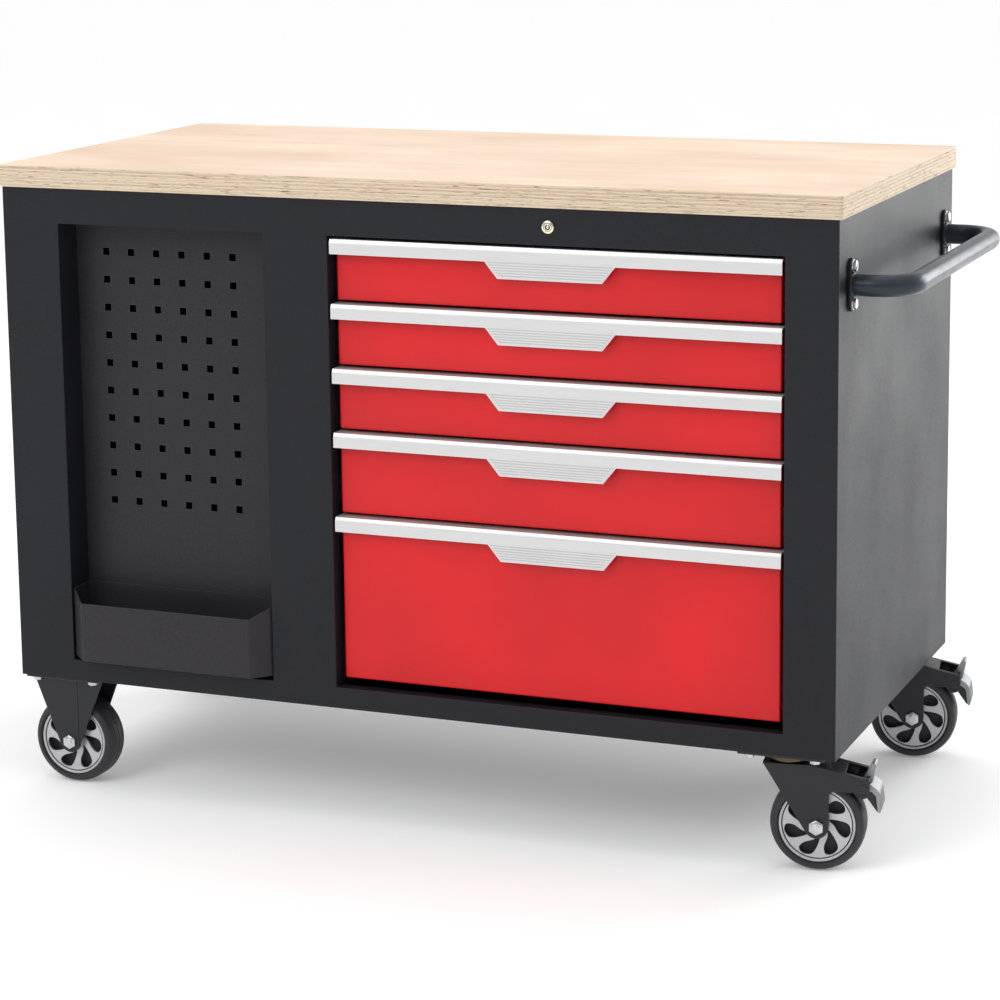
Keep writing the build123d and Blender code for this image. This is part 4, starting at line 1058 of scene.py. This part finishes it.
class BENCH_OT_swivel_forks(bpy.types.Operator):
    """Turning forks with rear arms, their plates, races, axles and brake pedals"""
    bl_idname = "bench.swivel_forks"
    bl_label = "Swivel casters"

    def execute(self, context):
        plates, races = bmesh.new(), bmesh.new()
        for row in ROWS:
            self.make_fork(row)
            self.add_plate(plates, races, row)
            self.make_pedal(row)
        finished("swivel_top_plates", plates, finish("fork_black"), "cabinet", ["swivel_plates"],
                 bevel=0.0005, segments=2)
        finished("swivel_races", races, finish("race"), "cabinet", ["swivel_plates"],
                 bevel=0.0004, segments=2)
        return {"FINISHED"}

    def make_fork(self, row):
        body = "swivel_" + row
        turn_at, _ = joint("swivel_%s_turn" % row)
        centre, axis = joint("wheel_right_%s_spin" % row)
        pin, _ = joint("brake_%s_press" % row)
        across = Vector((centre.x - turn_at.x, centre.y - turn_at.y, 0))
        trail = across.length
        across.normalize()
        origin = Vector((turn_at.x, turn_at.y, 0))
        sheet, radius, crown = sizes().fork_sheet, sizes().fork_end, sizes().crown_radius
        top = high("swivel_fork_" + row).z
        pin_reach = (pin - turn_at).dot(across)
        reach = pin_reach + 0.008
        arm_top = pin.z + 0.010
        arm_low = arm_top - sizes().arm_depth
        half_out = fork_half_width()
        start = tangent_end((trail, centre.z), (-crown, top), radius, 1)
        foot = arc((trail, centre.z), radius, start, 360, 16)
        knuckle = arc((trail + radius + 0.008, arm_low - 0.008), 0.008, 180, 90, 6)
        tip = arc((reach - 0.004, arm_low + 0.004), 0.004, -90, 0, 5)
        outline = [(-crown, top)] + foot + knuckle + tip + [(reach, arm_top), (crown, top)]
        bm = bmesh.new()
        for side in (1, -1):
            thick_outline(bm, place_points(outline, origin, across, axis * side * half_out),
                          -axis * side * sheet)
        inner = half_out - sheet
        roof = ((-crown, top), (crown, top), (reach, arm_top), (reach, arm_top - sheet),
                (crown, top - sheet), (-crown, top - sheet))
        window_from, window_to = reach - 0.032, reach - 0.006
        slope = (arm_top - top) / (reach - crown)
        cut_a = (window_from, top + slope * (window_from - crown))
        cut_b = (window_to, top + slope * (window_to - crown))
        before = (roof[0], roof[1], cut_a, (cut_a[0], cut_a[1] - sheet), roof[4], roof[5])
        after = (cut_b, roof[2], roof[3], (cut_b[0], cut_b[1] - sheet))
        for part in (before, after):
            thick_outline(bm, place_points(part, origin, across, -axis * inner), axis * 2 * inner)
        strip = 0.004
        sides = (cut_a, cut_b, (cut_b[0], cut_b[1] - sheet), (cut_a[0], cut_a[1] - sheet))
        for side in (1, -1):
            thick_outline(bm, place_points(sides, origin, across, axis * side * inner), -axis * side * strip)
        finished("fork_swivel_" + row, bm, finish("fork_black"), body, ["swivel_fork_" + row],
                 bevel=0.0012, segments=3)
        make_axle("axle_right_" + row, body, "swivel_axle_" + row, centre, axis, half_out)

    def add_plate(self, bm, races, row):
        turn_at, _ = joint("swivel_%s_turn" % row)
        start, end = low("swivel_plates"), high("swivel_plates")
        half_y = turn_at.y - start.y if row == "front" else end.y - turn_at.y
        sheet = sizes().fork_sheet
        corners = ((start.x, turn_at.y - half_y), (end.x, turn_at.y - half_y),
                   (end.x, turn_at.y + half_y), (start.x, turn_at.y + half_y))
        thick_outline(bm, [(x, y, end.z - sheet) for x, y in corners], (0, 0, sheet))
        crown_top = high("swivel_fork_" + row).z
        drop = turn_at.z - crown_top - 0.0006
        outer = sizes().crown_radius - 0.003
        dome = ((0.0, -sheet), (outer - 0.004, -sheet), (outer, -sheet - 0.003), (outer, -drop + 0.002),
                (outer - 0.002, -drop), (0.0, -drop))
        turned(races, dome, turn_at, Vector((0, 0, 1)), 56)
        pin = ((0.0, -drop), (0.006, -drop), (0.006, -drop - 0.0045), (0.0115, -drop - 0.0045),
               (0.0115, -drop - 0.008), (0.010, -drop - 0.009), (0.0, -drop - 0.009))
        turned(races, pin, turn_at, Vector((0, 0, 1)), 40)

    def make_pedal(self, row):
        body = "brake_" + row
        turn_at, _ = joint("swivel_%s_turn" % row)
        centre, _ = joint("wheel_right_%s_spin" % row)
        pin, axis = joint("brake_%s_press" % row)
        across = Vector((centre.x - turn_at.x, centre.y - turn_at.y, 0)).normalized()
        origin = Vector((pin.x, pin.y, 0))
        half = 0.0215
        neck = ((-0.003, 0.004), (0.009, 0.0265), (0.0125, 0.028), (0.0150, 0.0258), (0.0105, 0.003),
                (0.006, -0.004))
        pad = ((0.008, 0.0025), (0.0175, -0.004), (0.0205, -0.009), (0.0228, -0.031), (0.0220, -0.0345),
               (0.0195, -0.0355), (0.0182, -0.034), (0.0155, -0.013), (0.0105, -0.008), (0.002, -0.005))
        bm = bmesh.new()
        for outline, reach in ((neck, half * 0.55), (pad, half)):
            places = [(x, pin.z + z) for x, z in outline]
            thick_outline(bm, place_points(places, origin, across, -axis * reach), axis * 2 * reach)
        for rib in range(-3, 4):
            bar = ((0.0200, -0.0095), (0.0216, -0.0105), (0.0238, -0.0300), (0.0225, -0.0318))
            places = [(x, pin.z + z) for x, z in bar]
            shift = axis * (rib * half / 3.6 - 0.0010)
            thick_outline(bm, place_points(places, origin, across, shift), axis * 0.0022)
        finished("pedal_" + row, bm, finish("pedal"), body, ["brake_pedal_" + row],
                 bevel=0.0007, segments=2)

        shoe = bmesh.new()
        away = atan2(centre.z - pin.z, (centre - pin).dot(across))
        clear = hypot(centre.z - pin.z, (centre - pin).dot(across)) - high("tyre_left_front").z / 2
        aim = away + radians(25)
        offset = clear - 0.0005 - 0.012
        middle = origin + across * offset * cos(aim) + Vector((0, 0, pin.z + offset * sin(aim)))
        width = half - 0.001
        cam = ((0.0, -width), (0.0108, -width), (0.0118, -width + 0.001), (0.0118, width - 0.001),
               (0.0108, width), (0.0, width))
        turned(shoe, cam, middle, axis, 40)
        barrel = ((0.0031, -width), (0.0064, -width), (0.0064, width), (0.0031, width), (0.0031, -width))
        turned(shoe, barrel, Vector(pin), axis, 32)
        wedge = ((0.001, -0.0055), (0.011, -0.0065), (0.0156, -0.0135), (0.0180, -0.0335),
                 (0.0172, -0.0345), (0.003, -0.0150))
        places = [(x, pin.z + z) for x, z in wedge]
        thick_outline(shoe, place_points(places, origin, across, -axis * width * 0.96),
                      axis * 2 * width * 0.96)
        finished("brake_shoe_" + row, shoe, finish("fork_black"), body, ["brake_pedal_" + row],
                 bevel=0.0004, segments=2)


class BENCH_OT_plate_bolts(bpy.types.Operator):
    """Plated bolt heads under the four caster plates"""
    bl_idname = "bench.plate_bolts"
    bl_label = "Plate bolts"

    def execute(self, context):
        start, end = low("caster_bolts"), high("caster_bolts")
        head = 0.0055
        radius = sizes().bolt_flats / 3 ** 0.5
        plates = []
        for row in ROWS:
            plates.append(joint("wheel_left_%s_spin" % row)[0])
            plates.append(joint("swivel_%s_turn" % row)[0])
        step_x = (end.x - radius * 0.866) - max(place.x for place in plates)
        step_y = max(place.y for place in plates)
        step_y = end.y - radius - step_y
        bm = bmesh.new()
        down = Vector((0, 0, -1))
        for place in plates:
            for x in (-step_x, step_x):
                for y in (-step_y, step_y):
                    spot = Vector((place.x + x, place.y + y, start.z + head))
                    washer = ((0.0, 0.0), (0.0074, 0.0), (0.0074, 0.0008), (0.0070, 0.0012), (0.0, 0.0012))
                    turned(bm, washer, spot, down, 28)
                    hexagon(bm, spot + down * 0.0012, down, sizes().bolt_flats * 0.92, 0.0041)
        finished("plate_bolt_heads", bm, finish("zinc"), "cabinet", ["caster_bolts"],
                 bevel=0.0003, segments=2)
        return {"FINISHED"}


# ---- studio ----
class BENCH_OT_studio(bpy.types.Operator):
    """Pale floor and backdrop, soft lights and the camera"""
    bl_idname = "bench.studio"
    bl_label = "Studio"

    def execute(self, context):
        self.make_floor()
        self.make_lights()
        self.make_camera(context)
        return {"FINISHED"}

    def make_floor(self):
        bm = bmesh.new()
        bmesh.ops.create_grid(bm, x_segments=8, y_segments=8, size=40.0)
        mesh = bpy.data.meshes.new("studio_floor")
        bm.to_mesh(mesh)
        bm.free()
        mesh.materials.append(finish("floor"))
        floor = bpy.data.objects.new("studio_floor", mesh)
        bpy.context.scene.collection.objects.link(floor)

    def make_lights(self):
        """Even white surroundings, a broad key, a lamp over the top and one for the end panel's sheen."""
        bpy.context.scene.view_settings.view_transform = "Standard"
        world = bpy.data.worlds.new("studio_world")
        bpy.context.scene.world = world
        world.use_nodes = True
        tree = world.node_tree
        backdrop = tree.nodes["Background"]
        toward = add_node(tree, "ShaderNodeTexCoord").outputs["Generated"]
        parts = add_node(tree, "ShaderNodeSeparateXYZ", sockets={0: toward})
        behind = ranged(tree, parts.outputs["Y"], -0.9, 0.1, 0.35, 1.0)
        above = ranged(tree, parts.outputs["Z"], 0.1, 0.6, 0.0, 1.0)
        level = math(tree, "MAXIMUM", behind, above)
        tree.links.new(add_node(tree, "ShaderNodeCombineColor", sockets={0: level, 1: level, 2: level}).outputs[0],
                       backdrop.inputs["Color"])
        backdrop.inputs["Strength"].default_value = 0.95
        target = Vector((0.0, 0.0, 0.45))
        lamps = (
            ("key_light", (-1.8, -4.4, 3.4), 2.6, 80.0),
            ("end_light", (2.7, 3.8, 1.5), 2.4, 98.0),
            ("top_light", (0.2, 0.2, 4.2), 3.5, 30.0),
        )
        for name, place, size, power in lamps:
            light = bpy.data.lights.new(name, "AREA")
            light.shape = "SQUARE"
            light.size = size
            light.energy = power
            lamp = bpy.data.objects.new(name, light)
            lamp.location = place
            lamp.rotation_euler = (target - Vector(place)).to_track_quat("-Z", "Y").to_euler()
            lamp.visible_camera = False
            bpy.context.scene.collection.objects.link(lamp)

    def make_camera(self, context):
        """Camera right of the front, a little above the top, with a small rise of the lens."""
        azimuth, elevation, roll = radians(21.34), radians(10.08), radians(-0.54)
        corner = Vector((low("front_frame").x, low("front_frame").y, low("front_frame").z))
        place = corner + Vector((2.1535, -3.4666, 1.1721))
        back = Vector((sin(azimuth) * cos(elevation), -cos(azimuth) * cos(elevation), sin(elevation)))
        right = Vector((cos(azimuth), sin(azimuth), 0))
        up = back.cross(right)
        turned_right = right * cos(roll) + up * sin(roll)
        turned_up = up * cos(roll) - right * sin(roll)
        lens = bpy.data.cameras.new("camera")
        lens.lens = 105.6
        lens.sensor_width = 36.0
        lens.shift_x = -0.045
        lens.shift_y = -0.15
        lens.clip_end = 80.0
        camera = bpy.data.objects.new("camera", lens)
        rotation = Matrix((turned_right, turned_up, back)).transposed().to_4x4()
        camera.matrix_world = Matrix.Translation(place) @ rotation
        context.scene.collection.objects.link(camera)
        context.scene.camera = camera


# ---- add-on ----
STEPS = (
    BENCH_OT_worktop, BENCH_OT_front_frame, BENCH_OT_steelwork, BENCH_OT_tray, BENCH_OT_drawer_fronts,
    BENCH_OT_drawer_pulls, BENCH_OT_lock, BENCH_OT_push_handle, BENCH_OT_wheels, BENCH_OT_fixed_forks,
    BENCH_OT_swivel_forks, BENCH_OT_plate_bolts, BENCH_OT_studio,
)


class BENCH_PT_panel(bpy.types.Panel):
    """Lists the build steps"""
    bl_idname = "BENCH_PT_panel"
    bl_label = "Bench"
    bl_space_type = "VIEW_3D"
    bl_region_type = "UI"
    bl_category = "Bench"

    def draw(self, context):
        for step in STEPS:
            self.layout.operator(step.bl_idname)


CLASSES = (BenchSizes, BenchColours) + STEPS + (BENCH_PT_panel,)


def register():
    for made in CLASSES:
        bpy.utils.register_class(made)
    bpy.types.Scene.bench_sizes = bpy.props.PointerProperty(type=BenchSizes)
    bpy.types.Scene.bench_colours = bpy.props.PointerProperty(type=BenchColours)


def unregister():
    del bpy.types.Scene.bench_colours
    del bpy.types.Scene.bench_sizes
    for made in reversed(CLASSES):
        bpy.utils.unregister_class(made)


def main():
    register()
    for step in STEPS:
        group, action = step.bl_idname.split(".")
        getattr(getattr(bpy.ops, group), action)()


if __name__ == "__main__":
    main()
